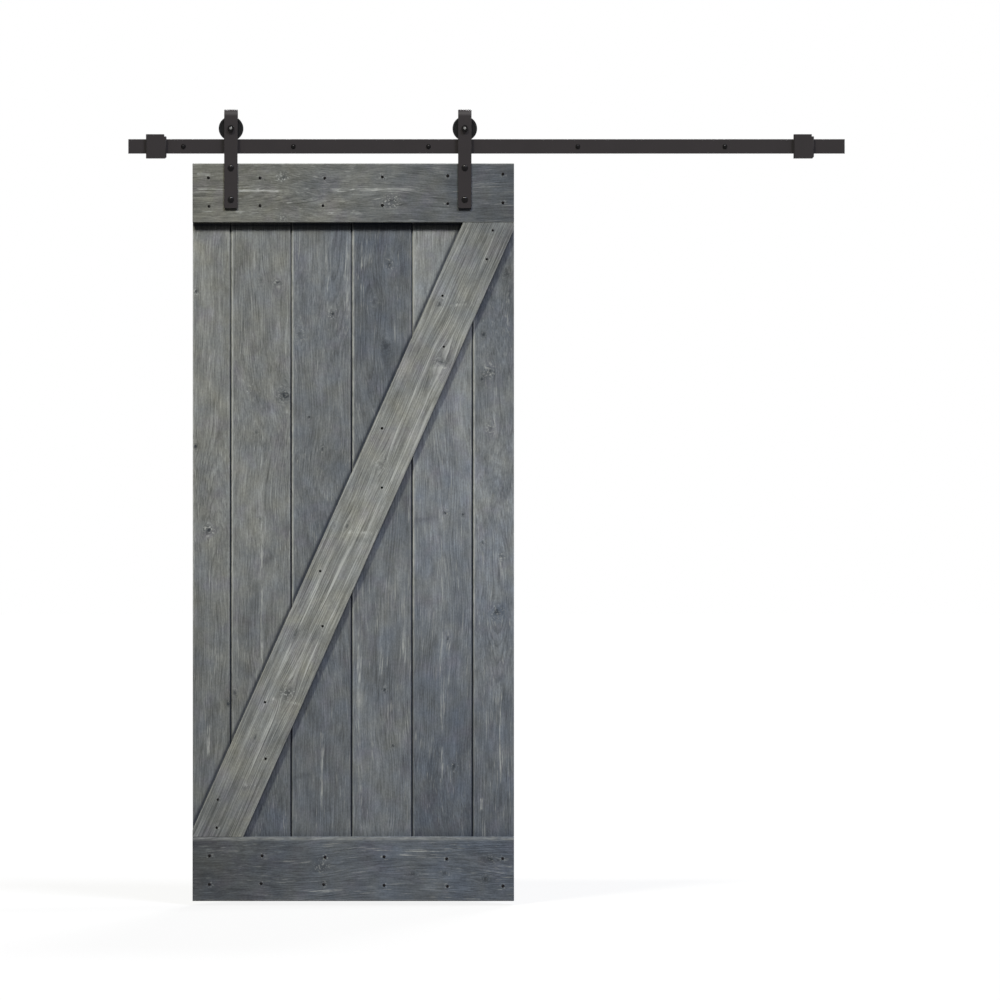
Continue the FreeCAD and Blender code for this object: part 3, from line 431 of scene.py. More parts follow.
def even_finish(name, tint, metallic, roughness, gloss, size, grit=(3, 0.2), cloud=(9, 2, 0.2, 0.2),
                relief=(0.2, 0.04)):
    """Finish with fine grit of one size, in sheen and relief, and soft clouds of shade.

    grit gives its detail and how far it swings the roughness; cloud its size, its detail, the stretch
    of it that counts and how far it swings the shade; relief its strength and depth. Sizes are in mm.
    """
    material, add = fresh_material(name)
    place = add("TexCoord").outputs["Object"]
    grain = add("TexNoise", (place, 1 / (size * MM), grit[0]))
    mottle = add("TexNoise", (place, 1 / (cloud[0] * MM), cloud[1]))
    shade = add("MapRange", (mottle, 0.5 - cloud[2], 0.5 + cloud[2], 1 - cloud[3], 1 + cloud[3]))
    base = add("VectorMath", (tuple(tint), shade), operation="SCALE")
    rough = add("Math", (grain, grit[1], roughness - grit[1] / 2), operation="MULTIPLY_ADD")
    bump = add("Bump", {"Strength": relief[0], "Distance": relief[1] * MM, "Height": grain})
    surface = add("BsdfPrincipled", {
        "Base Color": base, "Metallic": metallic, "Roughness": rough, "Normal": bump,
        "Specular IOR Level": gloss})
    add("OutputMaterial", (surface,))
    return material


def finish_of(slot):
    """Material of one of the record's slots, made the first time it is asked for."""
    steel = bpy.context.scene.door_steel
    # Shot-blasted and powder-coated black: satin, with the faint orange peel of the baked coat. The
    # peel is about 0.8 mm wide, too fine for the main view, and shows only close up.
    coated = ("Powder-coated steel", even_finish, steel.powder_coat, 0, steel.coat_roughness, 0.26, 0.8,
              (2, 0.16), (60, 3, 0.25, 0.12), (0.04, 0.05))
    name, maker, *look = {
        # The three differ in how deep rings and fibres are stained, how pale and how long the fibres are.
        "board_pine": ("Brushed and stained pine, boards", stained_pine, 0.30, 0.20, 0.66, 1.0),
        "ledge_pine": ("Brushed and stained pine, ledges", stained_pine, 0.34, 0.22, 0.84, 0.8),
        "brace_pine": ("Brushed and stained pine, brace", stained_pine, 0.36, 0.32, 0.9, 2.6),
        "rail_steel": coated,
        "strap_steel": coated,
        # Forged, then blackened in a hot salt bath: dark, with the thin gleam of the oil left on it.
        "fastener_steel": ("Black oxide steel", even_finish, steel.black_oxide, 0, 0.22, 0.12, 0.5),
        # Turned and electroplated: bright, a little grey and cloudy.
        "bush_steel": ("Zinc-plated steel", even_finish, steel.zinc, 1, 0.38, 0.5, 0.4),
        # Turned from solid bar: dull black with fine tool marks.
        "wheel_nylon": ("Turned nylon", even_finish, steel.nylon, 0, 0.42, 0.16, 0.6),
        # Hardened and ground: bright and almost smooth.
        "bearing_steel": ("Ground bearing steel", even_finish, steel.bearing_steel, 1, 0.28, 0.5, 0.3),
    }[slot]
    return bpy.data.materials.get(name) or maker(name, *look)


def box_mm(name):
    """Low and high corner of a construction piece's box, in mm."""
    return [np.array(corner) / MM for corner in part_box(name)]


def linked(name, data):
    """New object in the scene."""
    made = bpy.data.objects.new(name, data)
    bpy.context.scene.collection.objects.link(made)
    return made


def add_piece(name, mesh, body, slot, nodes=()):
    """Link a finished mesh, in place, as a piece of the door."""
    piece = linked(name, mesh)
    mesh.materials.clear()
    mesh.materials.append(finish_of(slot))
    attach(piece, body)
    if nodes:
        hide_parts(*nodes)


def tidy_mesh(mesh, degrees=32):
    """Merge doubles, point the faces outwards and shade them smooth up to an angle."""
    shell = bmesh.new()
    shell.from_mesh(mesh)
    bmesh.ops.remove_doubles(shell, verts=shell.verts, dist=1e-6)
    bmesh.ops.recalc_face_normals(shell, faces=shell.faces)
    shell.to_mesh(mesh)
    shell.free()
    mesh.polygons.foreach_set("use_smooth", [True] * len(mesh.polygons))
    mesh.set_sharp_from_angle(angle=math.radians(degrees))
    mesh.update()
    return mesh


def skin(name, rows, capped=True):
    """Mesh over rows of points in mm, each row a closed section with the same count."""
    rows = np.asarray(rows, float)
    count, width = rows.shape[:2]
    start, step = np.arange(count - 1)[:, None] * width, np.arange(width)[None, :]
    here, beside = start + step, start + (step + 1) % width
    faces = np.stack([here, beside, beside + width, here + width], -1).reshape(-1, 4).tolist()
    if capped:
        faces += [list(range(width)), list(range((count - 1) * width, count * width))]
    mesh = bpy.data.meshes.new(name)
    mesh.from_pydata((rows.reshape(-1, 3) * MM).tolist(), [], faces)
    return mesh


def unit(vector):
    """Vector of length one."""
    return vector / np.linalg.norm(vector)


def outline(corners, step):
    """Closed outline with eased corners, each (across, up, ease), in steps of at most step(across, up)."""
    corners = [np.array(corner, float) for corner in corners]
    points = []
    for index, corner in enumerate(corners):
        spot, ease = corner[:2], corner[2]
        if ease <= 0:
            points.append(spot)
            continue
        start, end = (spot + ease * unit(corners[other % len(corners)][:2] - spot)
                      for other in (index - 1, index + 1))
        points += [(1 - t) ** 2 * start + 2 * t * (1 - t) * spot + t ** 2 * end for t in (0.0, 0.3, 0.7, 1.0)]
    dense = []
    for index, point in enumerate(points):
        following = points[(index + 1) % len(points)]
        reach = following - point
        pieces = max(1, math.ceil(np.hypot(*reach) / step(*(point + following) / 2)))
        dense += [point + reach * part / pieces for part in range(pieces)]
    return np.array(dense)


def shrunk(section, amount):
    """Section drawn in on every side."""
    ahead, behind = np.roll(section, -1, 0), np.roll(section, 1, 0)
    along = ahead - behind
    normal = np.stack([along[:, 1], -along[:, 0]], 1) / np.maximum(np.hypot(*along.T), 1e-9)[:, None]
    area = np.sum(section[:, 0] * ahead[:, 1] - ahead[:, 0] * section[:, 1])
    return section - normal * amount * math.copysign(1, area)


def stations(low, high, close, wide=9.0, fine=4.0, near=26.0):
    """Places along a piece from low to high, closer together near the places in close."""
    places, here = [low], low
    while here < high - fine:
        here += fine if any(abs(here - mark) < near for mark in close) else wide
        places.append(min(here, high - fine * 0.5))
    return [*places[:-1], high] if high - places[-1] < fine else [*places, high]


def field(across, along, seed, wide, long, waves=7):
    """Soft seeded field, about -1 to 1, with lumps about wide by long millimetres."""
    chance = np.random.default_rng(seed)
    total = np.zeros_like(np.asarray(along, float))
    for _ in range(waves):
        turn_across, turn_along = chance.uniform(-0.7, 0.7), chance.uniform(0.3, 0.9)
        total = total + np.sin(math.tau * (across * turn_across / wide + along * turn_along / long)
                               + chance.uniform(0, math.tau))
    return total / (1.6 * math.sqrt(waves / 2))


def bell(distance, width, power=2):
    """One where the distance is nothing, falling off softly over the width."""
    return np.exp(-(distance / width) ** power)


def plank_axes(plank):
    """Middle of the piece, and its directions across and along the grain, in mm."""
    low, high = box_mm(plank.node)
    lean = math.radians(plank.lean)
    across = np.array([math.cos(lean), 0, -math.sin(lean)])
    along = np.array([math.sin(lean), 0, math.cos(lean)])
    return (low + high) / 2, across, along


def on_plank(plank, x, z):
    """Across and along the grain from the piece's middle, for door places."""
    middle, *axes = plank_axes(plank)
    return [(x - middle[0]) * axis[0] + (z - middle[2]) * axis[2] for axis in axes]


def brace_sides(x, z):
    """Distance outside the brace's left and right long edges, in mm."""
    off = on_plank(PLANKS["brace"], x, z)[0]
    return -BRACE_WIDTH / 2 - off, off - BRACE_WIDTH / 2


def store(mesh, name, *columns):
    """Keep three numbers a point as an attribute."""
    attribute = mesh.attributes.new(name, "FLOAT_VECTOR", "POINT")
    attribute.data.foreach_set("vector", np.stack(columns, 1).astype(np.float32).ravel())


def lay_grain(plank, mesh):
    """Give each point its place in the tree, its nearest knot, its stain, its worn arrises with painted
    highlights, and its dirt with painted shade.
    """
    points = np.empty(len(mesh.vertices) * 3)
    mesh.vertices.foreach_get("co", points)
    x, y, z = (points.reshape(-1, 3) / MM).T
    across, along = on_plank(plank, x, z)
    depth = y - box_mm(plank.node)[0][1]

    # The pith wanders along the piece, and the grain parts round each knot. knots holds how far the
    # nearest one is in its own widths, the place round it and its darkness.
    offset, behind, widening = plank.pith
    bent = 16 * field(0, along, plank.seed, 1, 900) + 4 * field(0, along, plank.seed + 1, 1, 260)
    from_pith = across - offset - plank.sway * bent
    to_pith = behind + widening * along / 1000 + plank.sway * 13 * field(0, along, plank.seed + 2, 1, 620) - depth
    knots = np.zeros((4, len(x)))
    knots[0] = np.inf
    flecks = np.zeros(len(x))
    for knot_x, knot_z, half_across, half_along, dark, fleck in KNOTS[plank.node]:
        at_across, at_along = on_plank(plank, knot_x, knot_z)
        off_across, off_along = across - at_across, along - at_along
        reach = 1.35 * half_across
        spread = off_across ** 2 + (0.42 * off_along) ** 2
        from_pith = from_pith - 0.72 * off_across * reach ** 2 / np.maximum(spread, reach ** 2)
        far = np.hypot(off_across / half_across, off_along / half_along)
        dark = dark * np.clip((4.2 - far) / 1.4, 0, 1)
        knots = np.where(far < knots[0], (far, off_across / half_across, off_along / half_along, dark), knots)
        flecks = flecks + 0.7 * fleck * bell(far - 1.1, 1.3)
    for nail_x, nail_z in LEDGE_NAILS + BRACE_NAILS:
        flecks = flecks + 0.45 * bell(np.hypot(x - nail_x, z - nail_z) - 6, 3.5)

    # Stain: lightness and blueness along the piece, with its patches.
    ends = np.array([along.min(), 0.0, along.max()])
    light, cool = np.interp(along, ends, plank.light), np.interp(along, ends, plank.cool)
    for patch_x, patch_z, half_x, half_z, turn, lighter, cooler in PATCHES[plank.node]:
        sine, cosine = math.sin(math.radians(turn)), math.cos(math.radians(turn))
        dx, dz = x - patch_x, z - patch_z
        inside = bell(dx * cosine + dz * sine, half_x) * bell(dz * cosine - dx * sine, half_z)
        light, cool = light * (1 + lighter * inside), cool + cooler * inside

    # Pale bands, along the lines that the brush laid open, and the paler stain beside them.
    pale, glow = np.zeros((2, len(x)))
    for x1, z1, x2, z2, half, strength in PALE_BANDS[plank.node]:
        span_x, span_z = x2 - x1, z2 - z1
        reach = math.hypot(span_x, span_z)
        run = ((x - x1) * span_x + (z - z1) * span_z) / reach ** 2
        aside = ((x - x1) * span_z - (z - z1) * span_x) / reach
        strong = strength * np.clip(run * 8, 0, 1) * np.clip((1 - run) * 8, 0, 1)
        pale = np.maximum(pale, strong * bell(aside, 0.72 * half))
        glow = np.maximum(glow, strong * bell(aside, 1.1 * half))

    wear_and_highlight, dirt_and_shade = wear_highlight_dirt_and_shade(plank, x, z, depth)
    store(mesh, "grain", from_pith, along + plank.seed * 37.0, to_pith)
    store(mesh, "knot", *knots[1:])
    store(mesh, "tone", light * (1 + 0.2 * glow), cool, dirt_and_shade)
    store(mesh, "mark", pale, wear_and_highlight, np.minimum(flecks, 0.8))


def wear_highlight_dirt_and_shade(plank, x, z, depth):
    """Rubbed arrises at the front, some painted pale as highlights, and dirt in the joints, with painted shade and
    shadow in them and in the corners by ledges and brace.
    """
    low, high = box_mm(plank.node)
    brace_left, brace_right = brace_sides(x, z)
    if plank.slot != "board_pine":
        if plank.node == "brace":
            wear_and_highlight = bell(np.minimum(np.abs(brace_left), np.abs(brace_right)), 2.2)
        else:
            # The bottom ledge's top arris is worn and widened a little below its top into a painted highlight, as
            # of light from above; the ledges' other arrises are worn.
            below, wide = (5.5, 4.5) if plank.node == "bottom_ledge" else (0.0, 2.5)
            wear_and_highlight = np.maximum(bell(z - high[2] + below, wide), 0.8 * bell(z - low[2], 2.5))
        return wear_and_highlight * np.clip(4 - depth, 0, 1), np.zeros(len(x))
    first, last = plank.node == "board_1", plank.node == f"board_{LAST_BOARD}"
    left_arris = low[0] + (0 if first else VEE)
    right_arris = high[0] - (0 if last else TONGUE + VEE)
    front = np.clip(1.5 - depth, 0, 1)
    # Painted highlight: each board's left bevel, which faces the left lamp, and the arris beside it are
    # painted pale, strongly above and only faintly at the foot; the right arrises are a little worn.
    rubbed_and_lit = np.clip((z + 1600) / 400, 0.15, 1)
    wear_and_highlight = front * rubbed_and_lit * np.maximum(2.1 * bell(x - left_arris - 0.8, 2.5), 0.6 * bell(x - right_arris, 2.0))
    wear_and_highlight = np.where((x < left_arris) & (depth < VEE), 3.2 * rubbed_and_lit * np.clip((3.4 - depth) / 1.6, 0, 1), wear_and_highlight)
    # Dirt and painted shade, as listed below: in the joints, under the top ledge, over the bottom one
    # and along the brace.
    within = np.clip((depth - 0.9) / 1.8, 0, 1) * (depth < 18)
    side = np.where(x > (low[0] + high[0]) / 2, 1.0, 0.5 + 0.42 * np.clip((-300 - z) / 300, 0, 1))
    under = box_mm("top_ledge")[0][2] - z
    over = z - box_mm("bottom_ledge")[1][2]
    dirt_and_shade = np.maximum.reduce((
        # Joints darker low down, with painted shade on the bevels that face away from the left lamp.
        (0.9 - 0.72 * np.clip((z + 740) / 420, 0, 1)) * within * side,
        # Painted shadow under the top ledge, and painted shade down the top of each joint.
        0.95 * bell(under, 14, 4) * (under > 0) * front,
        0.9 * bell(under, 30, 4) * (under > 0) * within,
        # Painted shade in the corner over the bottom ledge.
        0.3 * bell(over, 16) * front,
        # Painted shade along the brace: a dark line on its left, and a deeper shadow on its right.
        0.85 * bell(brace_left - 4.5, 5.0) * front,
        0.2 * bell(brace_right, 8) * (brace_right > -4) * front))
    return wear_and_highlight, dirt_and_shade


def settle(section_rows, seed):
    """Rows of points in mm with a slight waviness, as of wood that has been sawn and has dried."""
    rows = np.array(section_rows, float)
    rows[..., 1] += 0.16 * (1 + field(rows[..., 0], rows[..., 2], seed + 3, 60, 240))
    return rows


def sawn(plank, section, axis, ease):
    """Mesh of a piece that runs along X or Z, axis 0 or 2, with one section and its ends eased."""
    low, high = (corner[axis] for corner in box_mm(plank.node))
    knots = [knot[axis // 2] for knot in KNOTS[plank.node]]
    between = stations(low + ease + 0.1, high - ease - 0.1, knots)
    rows = [np.insert(shrunk(section, inset), axis, place, axis=1)
            for place, inset in ((low, ease), *((place, 0) for place in between), (high, ease))]
    return tidy_mesh(skin(plank.node, settle(rows, plank.seed)))


def add_plank(plank, mesh):
    """Lay the grain of a finished mesh and add it to the leaf."""
    lay_grain(plank, mesh)
    add_piece(f"pine_{plank.node}", mesh, "leaf", plank.slot, (plank.node,))


def make_board(number):
    """Tongued, grooved and V-jointed board, with its nut recesses where a hanger's bolts pass."""
    plank = PLANKS[f"board_{number}"]
    low, high = box_mm(plank.node)
    gap = bpy.context.scene.door_wood.joint_gap / MM / 2
    left, right = low[0], high[0] - (TONGUE if number < LAST_BOARD else 0)
    front, back, soft, arris = BOARD_FACE, LEAF_BACK, 0.7, 1.12
    tongue_back = back - TONGUE_SETBACK
    tongue_front = tongue_back - TONGUE_THICK
    groove_back, groove_front = tongue_back + TONGUE_PLAY, tongue_front - TONGUE_PLAY
    corners = [(left, back, soft), (left, front, arris)]
    if number > 1:
        groove_end = left + TONGUE + TONGUE_PLAY
        corners = [(left + gap, back, soft), (left + gap, groove_back, 0), (groove_end, groove_back, 0),
                   (groove_end, groove_front, 0), (left + gap, groove_front, 0), (left + gap, front + VEE, 0.4),
                   (left + VEE, front, arris)]
    if number < LAST_BOARD:
        corners += [(right - VEE, front, arris), (right - gap, front + VEE, 0.4), (right - gap, tongue_front, 0),
                    (right + TONGUE, tongue_front, 0.8), (right + TONGUE, tongue_back, 0.8),
                    (right - gap, tongue_back, 0), (right - gap, back, soft)]
    else:
        corners += [(right, front, arris), (right, back, soft)]
    section = outline(corners, lambda across, up: 3.6 if up < front + 1 else 1.8 if up < front + VEE else 6.5)
    mesh = sawn(plank, section, 2, soft)
    hangers = [x for x in HANGER_X if left - RECESS < x < right + TONGUE + RECESS]
    add_plank(plank, sink_recesses(mesh, hangers) if hangers else mesh)


def sink_recesses(mesh, hangers):
    """Cut the counterbores of the hanger bolts' nuts, and the bolts' holes, into a board's back."""
    board = linked("board_to_cut", mesh)
    profile = ((-40, 0), (-40, BOLT_HOLE), (-20, BOLT_HOLE), (-20, RECESS), (-5, RECESS), (-5, 0))
    for spot in ((x, 0, z) for x in hangers for z in HANGER_BOLT_Z):
        cutter = linked("cutter", lathe("cutter", profile, spot, 40))
        cut = board.modifiers.new("Recess", "BOOLEAN")
        cut.operation, cut.solver, cut.object = "DIFFERENCE", "EXACT", cutter
        board.data = baked(board)
        bpy.data.objects.remove(cutter)
    result = board.data
    bpy.data.objects.remove(board)
    return tidy_mesh(result)


def baked(piece):
    """Plain mesh of a piece with its modifiers, which are removed."""
    result = bpy.data.meshes.new_from_object(piece.evaluated_get(bpy.context.evaluated_depsgraph_get()))
    piece.modifiers.clear()
    return result


def make_ledge(name):
    """Wide board across the leaf, its front arrises eased."""
    (_, front, bottom), (_, back, top) = box_mm(name)
    section = outline(((back, bottom, 0.7), (back, top, 0.7), (front, top, 2.6), (front, bottom, 2.6)),
                      lambda across, up: 3.6 if across < front + 1 else 6.5)
    add_plank(PLANKS[name], sawn(PLANKS[name], section, 0, 0.8))


def make_brace():
    """Diagonal, lofted along its own grain and cut to the ledges and the leaf's edges."""
    plank = PLANKS["brace"]
    low, high = box_mm("brace")
    middle, across, along = plank_axes(plank)
    half, uncut = BRACE_WIDTH / 2, 1040.0
    section = outline(((half, high[1], 0.7), (half, low[1], 2.4), (-half, low[1], 2.4), (-half, high[1], 0.7)),
                      lambda side, up: 3.6 if up < low[1] + 1 else 6.5)
    rows = []
    for place in stations(-uncut, uncut, [on_plank(plank, *knot[:2])[1] for knot in KNOTS["brace"]]):
        rows.append(middle * (1, 0, 1) + section[:, :1] * across + place * along)
        rows[-1][:, 1] = section[:, 1]
    mesh = skin("brace", settle(rows, plank.seed))
    shell = bmesh.new()
    shell.from_mesh(mesh)
    bmesh.ops.recalc_face_normals(shell, faces=shell.faces)
    for corner, sign, axis in ((low, -1, 2), (high, 1, 2), (low, -1, 0), (high, 1, 0)):
        spot, outward = np.zeros((2, 3))
        spot[axis], outward[axis] = corner[axis] * MM, sign
        cut = bmesh.ops.bisect_plane(
            shell, geom=shell.verts[:] + shell.edges[:] + shell.faces[:], dist=1e-7,
            plane_co=spot, plane_no=outward, clear_outer=True)
        edges = [item for item in cut["geom_cut"] if isinstance(item, bmesh.types.BMEdge)]
        bmesh.ops.edgeloop_fill(shell, edges=edges)
    shell.to_mesh(mesh)
    shell.free()
    add_plank(plank, tidy_mesh(mesh))


def round_row(angles, reach, y, centre=(0, 0, 0)):
    """Points round an axis along Y through centre, in mm."""
    return np.stack([centre[0] + reach * np.cos(angles), np.full(len(angles), centre[1] + y),
                     centre[2] + reach * np.sin(angles)], 1)


def lathe(name, profile, centre=(0, 0, 0), segments=48, thread=None):
    """Round piece about an axis along Y through centre, from (y, radius) pairs in mm.

    thread is (from y, to y, depth, pitch): a right-hand screw thread cut into that stretch.
    """
    start, end, deep, pitch = thread or (0, 0, 0, 1)
    spots = []
    for (y, radius), (next_y, next_radius) in zip(profile, profile[1:]):
        pieces = 1
        if thread and min(y, next_y) >= start - 1e-6 and max(y, next_y) <= end + 1e-6:
            pieces = max(1, round(abs(next_y - y) / (pitch / 8)))
        spots += [(y + (next_y - y) * part / pieces, radius + (next_radius - radius) * part / pieces)
                  for part in range(pieces)]
    spots.append(profile[-1])
    angles = np.arange(segments) * math.tau / segments
    rows = []
    for y, radius in spots:
        reach = np.full(segments, float(radius))
        if thread and start <= y <= end and radius > 0:
            phase = (y / pitch + angles / math.tau) % 1
            ease = min(1, (y - start) / 2, max(0, end - y) / 1.5)
            reach = np.maximum(reach - deep * ease * np.clip(1.6 * np.abs(2 * phase - 1) - 0.1, 0, 1), 0.05)
        rows.append(round_row(angles, reach, y, centre))
    return tidy_mesh(skin(name, rows, capped=False))


def dome(seat, radius, height, rim, steps=8):
    """Profile of a domed head on a seat: up the rim and round to the crown."""
    rise = height - rim
    curve = (radius ** 2 + rise ** 2) / (2 * rise)
    sweep = math.asin(radius / curve)
    angles = [sweep * (1 - step / steps) for step in range(steps + 1)]
    return [(seat, radius), (seat - rim * 0.75, radius),
            *((seat - height + curve - curve * math.cos(angle), curve * math.sin(angle)) for angle in angles)]


def mirrored(face):
    """Closed profile of a turned piece with two like faces."""
    return [*face, *((-y, radius) for y, radius in reversed(face)), face[0]]


def hexagon_nut(name, flats, low, high, bore, chamfer=1.0):
    """Hexagon between two places along Y, its corners turned off at both faces."""
    count = 72
    angles = (np.arange(count) + 0.5) * math.tau / count
    edge = flats / 2 / np.cos((angles + math.pi / 6) % (math.pi / 3) - math.pi / 6)
    face, corner = flats / 2 * 0.97, flats / math.sqrt(3)
    slope = [(chamfer * part, face + (corner - face) * part) for part in (0, 0.25, 0.5, 0.75, 1.0)]
    rings = [(low, bore), *((low + rise, limit) for rise, limit in slope),
             *((high - rise, limit) for rise, limit in reversed(slope)), (high, bore), (low, bore)]
    rows = [round_row(angles, np.minimum(edge, limit), y) for y, limit in rings]
    return tidy_mesh(skin(name, rows, capped=False), 24)


def copies(pattern, places, material, seed, size_play):
    """Plain mesh of a pattern set at each place in mm, through Geometry Nodes."""
    group = bpy.data.node_groups.new(f"{pattern.name} at its places", "GeometryNodeTree")
    add = partial(node, group)
    sockets = {}
    for label, kind in (("Geometry", "Geometry"), ("Pattern", "Object"), ("Finish", "Material"),
                        ("Size play", "Float"), ("Seed", "Int")):
        socket = group.interface.new_socket(label, in_out="INPUT", socket_type=f"NodeSocket{kind}")
        sockets[label] = socket.identifier
    group.interface.new_socket("Geometry", in_out="OUTPUT", socket_type="NodeSocketGeometry")
    given = add("NodeGroupInput").outputs
    smallest = add("Math", (1, given["Size play"]), operation="SUBTRACT")
    size = add("FunctionNodeRandomValue", {2: smallest, 3: 1.0, "Seed": given["Seed"]}, data_type="FLOAT")
    shape = add("GeometryNodeObjectInfo", {"Object": given["Pattern"], "As Instance": True}).outputs["Geometry"]
    placed = add("GeometryNodeInstanceOnPoints", {"Points": given["Geometry"], "Instance": shape, "Scale": size})
    real = add("GeometryNodeRealizeInstances", (placed,))
    painted = add("GeometryNodeSetMaterial", {"Geometry": real, "Material": given["Finish"]})
    add("NodeGroupOutput", (painted,))

    model = linked("pattern", pattern)
    points = bpy.data.meshes.new("places")
    points.from_pydata([[value * MM for value in place] for place in places], [], [])
    carrier = linked("places", points)
    modifier = carrier.modifiers.new("Copies", "NODES")
    modifier.node_group = group
    for label, value in (("Pattern", model), ("Finish", material), ("Size play", size_play), ("Seed", seed)):
        modifier[sockets[label]] = value
    result = baked(carrier)
    for extra in (carrier, model):
        bpy.data.objects.remove(extra)
    return result


def add_copies(name, patterns, places, nodes, slot="fastener_steel", body="leaf", seed=0, size_play=0.0):
    """Piece of the door from copies of each pattern at all the places."""
    shell = bmesh.new()
    for pattern in patterns:
        shell.from_mesh(copies(pattern, places, finish_of(slot), seed, size_play))
    mesh = bpy.data.meshes.new(name)
    shell.to_mesh(mesh)
    shell.free()
    mesh.set_sharp_from_angle(angle=math.radians(30))
    add_piece(name, mesh, body, slot, nodes)


def sweep(name, x, path, ease, end_ease):
    """Strap's flat bar along a path of (y, z, normal y, normal z) in mm, its middle at x, edges eased."""
    half_width, half_thick = STRAP_WIDTH / 2, STRAP_THICK / 2
    section = outline([(across * half_width, up * half_thick, ease) for across, up in CORNERS],
                      lambda across, up: 12.0)
    runs = np.cumsum([0] + [math.dist(a[:2], b[:2]) for a, b in zip(path, path[1:])])
    rows = []
    for run, (y, z, normal_y, normal_z) in zip(runs, path):
        from_end = min(run, runs[-1] - run)
        drawn_in = end_ease - math.sqrt(max(0, end_ease ** 2 - max(0, end_ease - from_end) ** 2))
        across = section[:, 0] * (half_width - drawn_in) / half_width
        thick = section[:, 1] * (1 if from_end > 0.01 else (half_thick - 0.6) / half_thick)
        rows.append(np.stack([x + across, y + thick * normal_y, z + thick * normal_z], 1))
    return tidy_mesh(skin(name, rows))


class DOOR_OT_boards(bpy.types.Operator):
    """Lay the six upright boards with their V joints, grain and knots"""

    bl_idname = "door.boards"
    bl_label = "Boards"

    def execute(self, context):
        for number in range(1, LAST_BOARD + 1):
            make_board(number)
        return {"FINISHED"}


class DOOR_OT_ledges(bpy.types.Operator):
    """Lay the ledge across the head and the one across the foot"""

    bl_idname = "door.ledges"
    bl_label = "Ledges"

    def execute(self, context):
        make_ledge("top_ledge")
        make_ledge("bottom_ledge")
        return {"FINISHED"}


class DOOR_OT_brace(bpy.types.Operator):
    """Fit the diagonal between the ledges"""

    bl_idname = "door.brace"
    bl_label = "Brace"

    def execute(self, context):
        make_brace()
        return {"FINISHED"}


class DOOR_OT_nails(bpy.types.Operator):
    """Drive the nails through ledges and brace"""

    bl_idname = "door.nails"
    bl_label = "Nails"

    def execute(self, context):
        nails = context.scene.door_nails
        rise = nails.rise / MM
        # The brace's nails went deeper, so less of each head shows.
        for name, spots, showing in (("ledge_nails", LEDGE_NAILS, 1.0), ("brace_nails", BRACE_NAILS, 0.84)):
            half = showing * nails.head / MM / 2
            crown = [(-rise * math.sin(part * math.pi / 2), half * math.cos(part * math.pi / 2))
                     for part in (0.2, 0.45, 0.7, 0.88)]
            head = lathe("nail_head", [(0.8, 0), (0.8, half * 0.9), (0.1, half), *crown, (-rise, 0)], segments=18)
            add_copies(name, (head,), [(x, LEAF_FACE, z) for x, z in spots], (), seed=nails.seed, size_play=0.12)
        return {"FINISHED"}


class DOOR_OT_rail(bpy.types.Operator):
    """Coat the rail, its stops and its spacers"""

    bl_idname = "door.rail"
    bl_label = "Rail, stops and spacers"

    def execute(self, context):
        finish = finish_of("rail_steel")
        for name in ("rail", "left_stop", "right_stop", *(f"spacer_{number}" for number in range(1, 6))):
            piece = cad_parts[name]
            for holder in piece.material_slots:
                holder.material = finish
            if not piece.material_slots:
                piece.data.materials.append(finish)
        return {"FINISHED"}


class DOOR_OT_rail_bolts(bpy.types.Operator):
    """Screw the rail's bolts through rail and spacers"""

    bl_idname = "door.rail_bolts"
    bl_label = "Rail bolts"

    def execute(self, context):
        profile = [(45, 0), (44.6, 0.5), (39, 4.0), (0, 4.0), (0, 3.7), (-37, 3.7), *dome(-37, 6.5, 5.3, 1.2)]
        bolt = lathe("rail_bolt", profile, segments=32, thread=(0.5, 44.6, 0.95, 3.6))
        add_copies("rail_bolts", (bolt,), [(x, 0, 0) for x in LAG_X],
                   [f"lag_bolt_{number}" for number in range(1, 6)], body="track")
        return {"FINISHED"}


class DOOR_OT_straps(bpy.types.Operator):
    """Bend the two straps over their wheels"""

    bl_idname = "door.straps"
    bl_label = "Straps"

    def execute(self, context):
        close_by = (0.3, 0.8, 1.4, 2.0)
        for side, x in zip(SIDES, HANGER_X):
            low, high = box_mm(f"{side}_strap")
            middle_y = (low[1] + high[1]) / 2
            bend = (high[1] - low[1] - STRAP_THICK) / 2
            centre_z = high[2] - STRAP_THICK / 2 - bend
            end = AXLE_Z - BACK_LEG_DROP
            front = (low[2], *(low[2] + step for step in close_by), -100, -40, 20, centre_z)
            back = (60, *(end + step for step in reversed(close_by)), end)
            path = [(middle_y - bend, z, -1, 0) for z in front]
            for turn in np.linspace(0, math.pi, 33)[1:]:
                sine, cosine = math.sin(turn), math.cos(turn)
                path.append((middle_y - bend * cosine, centre_z + bend * sine, -cosine, sine))
            path += [(middle_y + bend, z, 1, 0) for z in back]
            mesh = sweep(f"{side}_strap_bar", x, path, context.scene.door_steel.strap_ease / MM, 2.0)
            add_piece(f"{side}_strap_bar", mesh, "leaf", "strap_steel", (f"{side}_strap",))
        return {"FINISHED"}


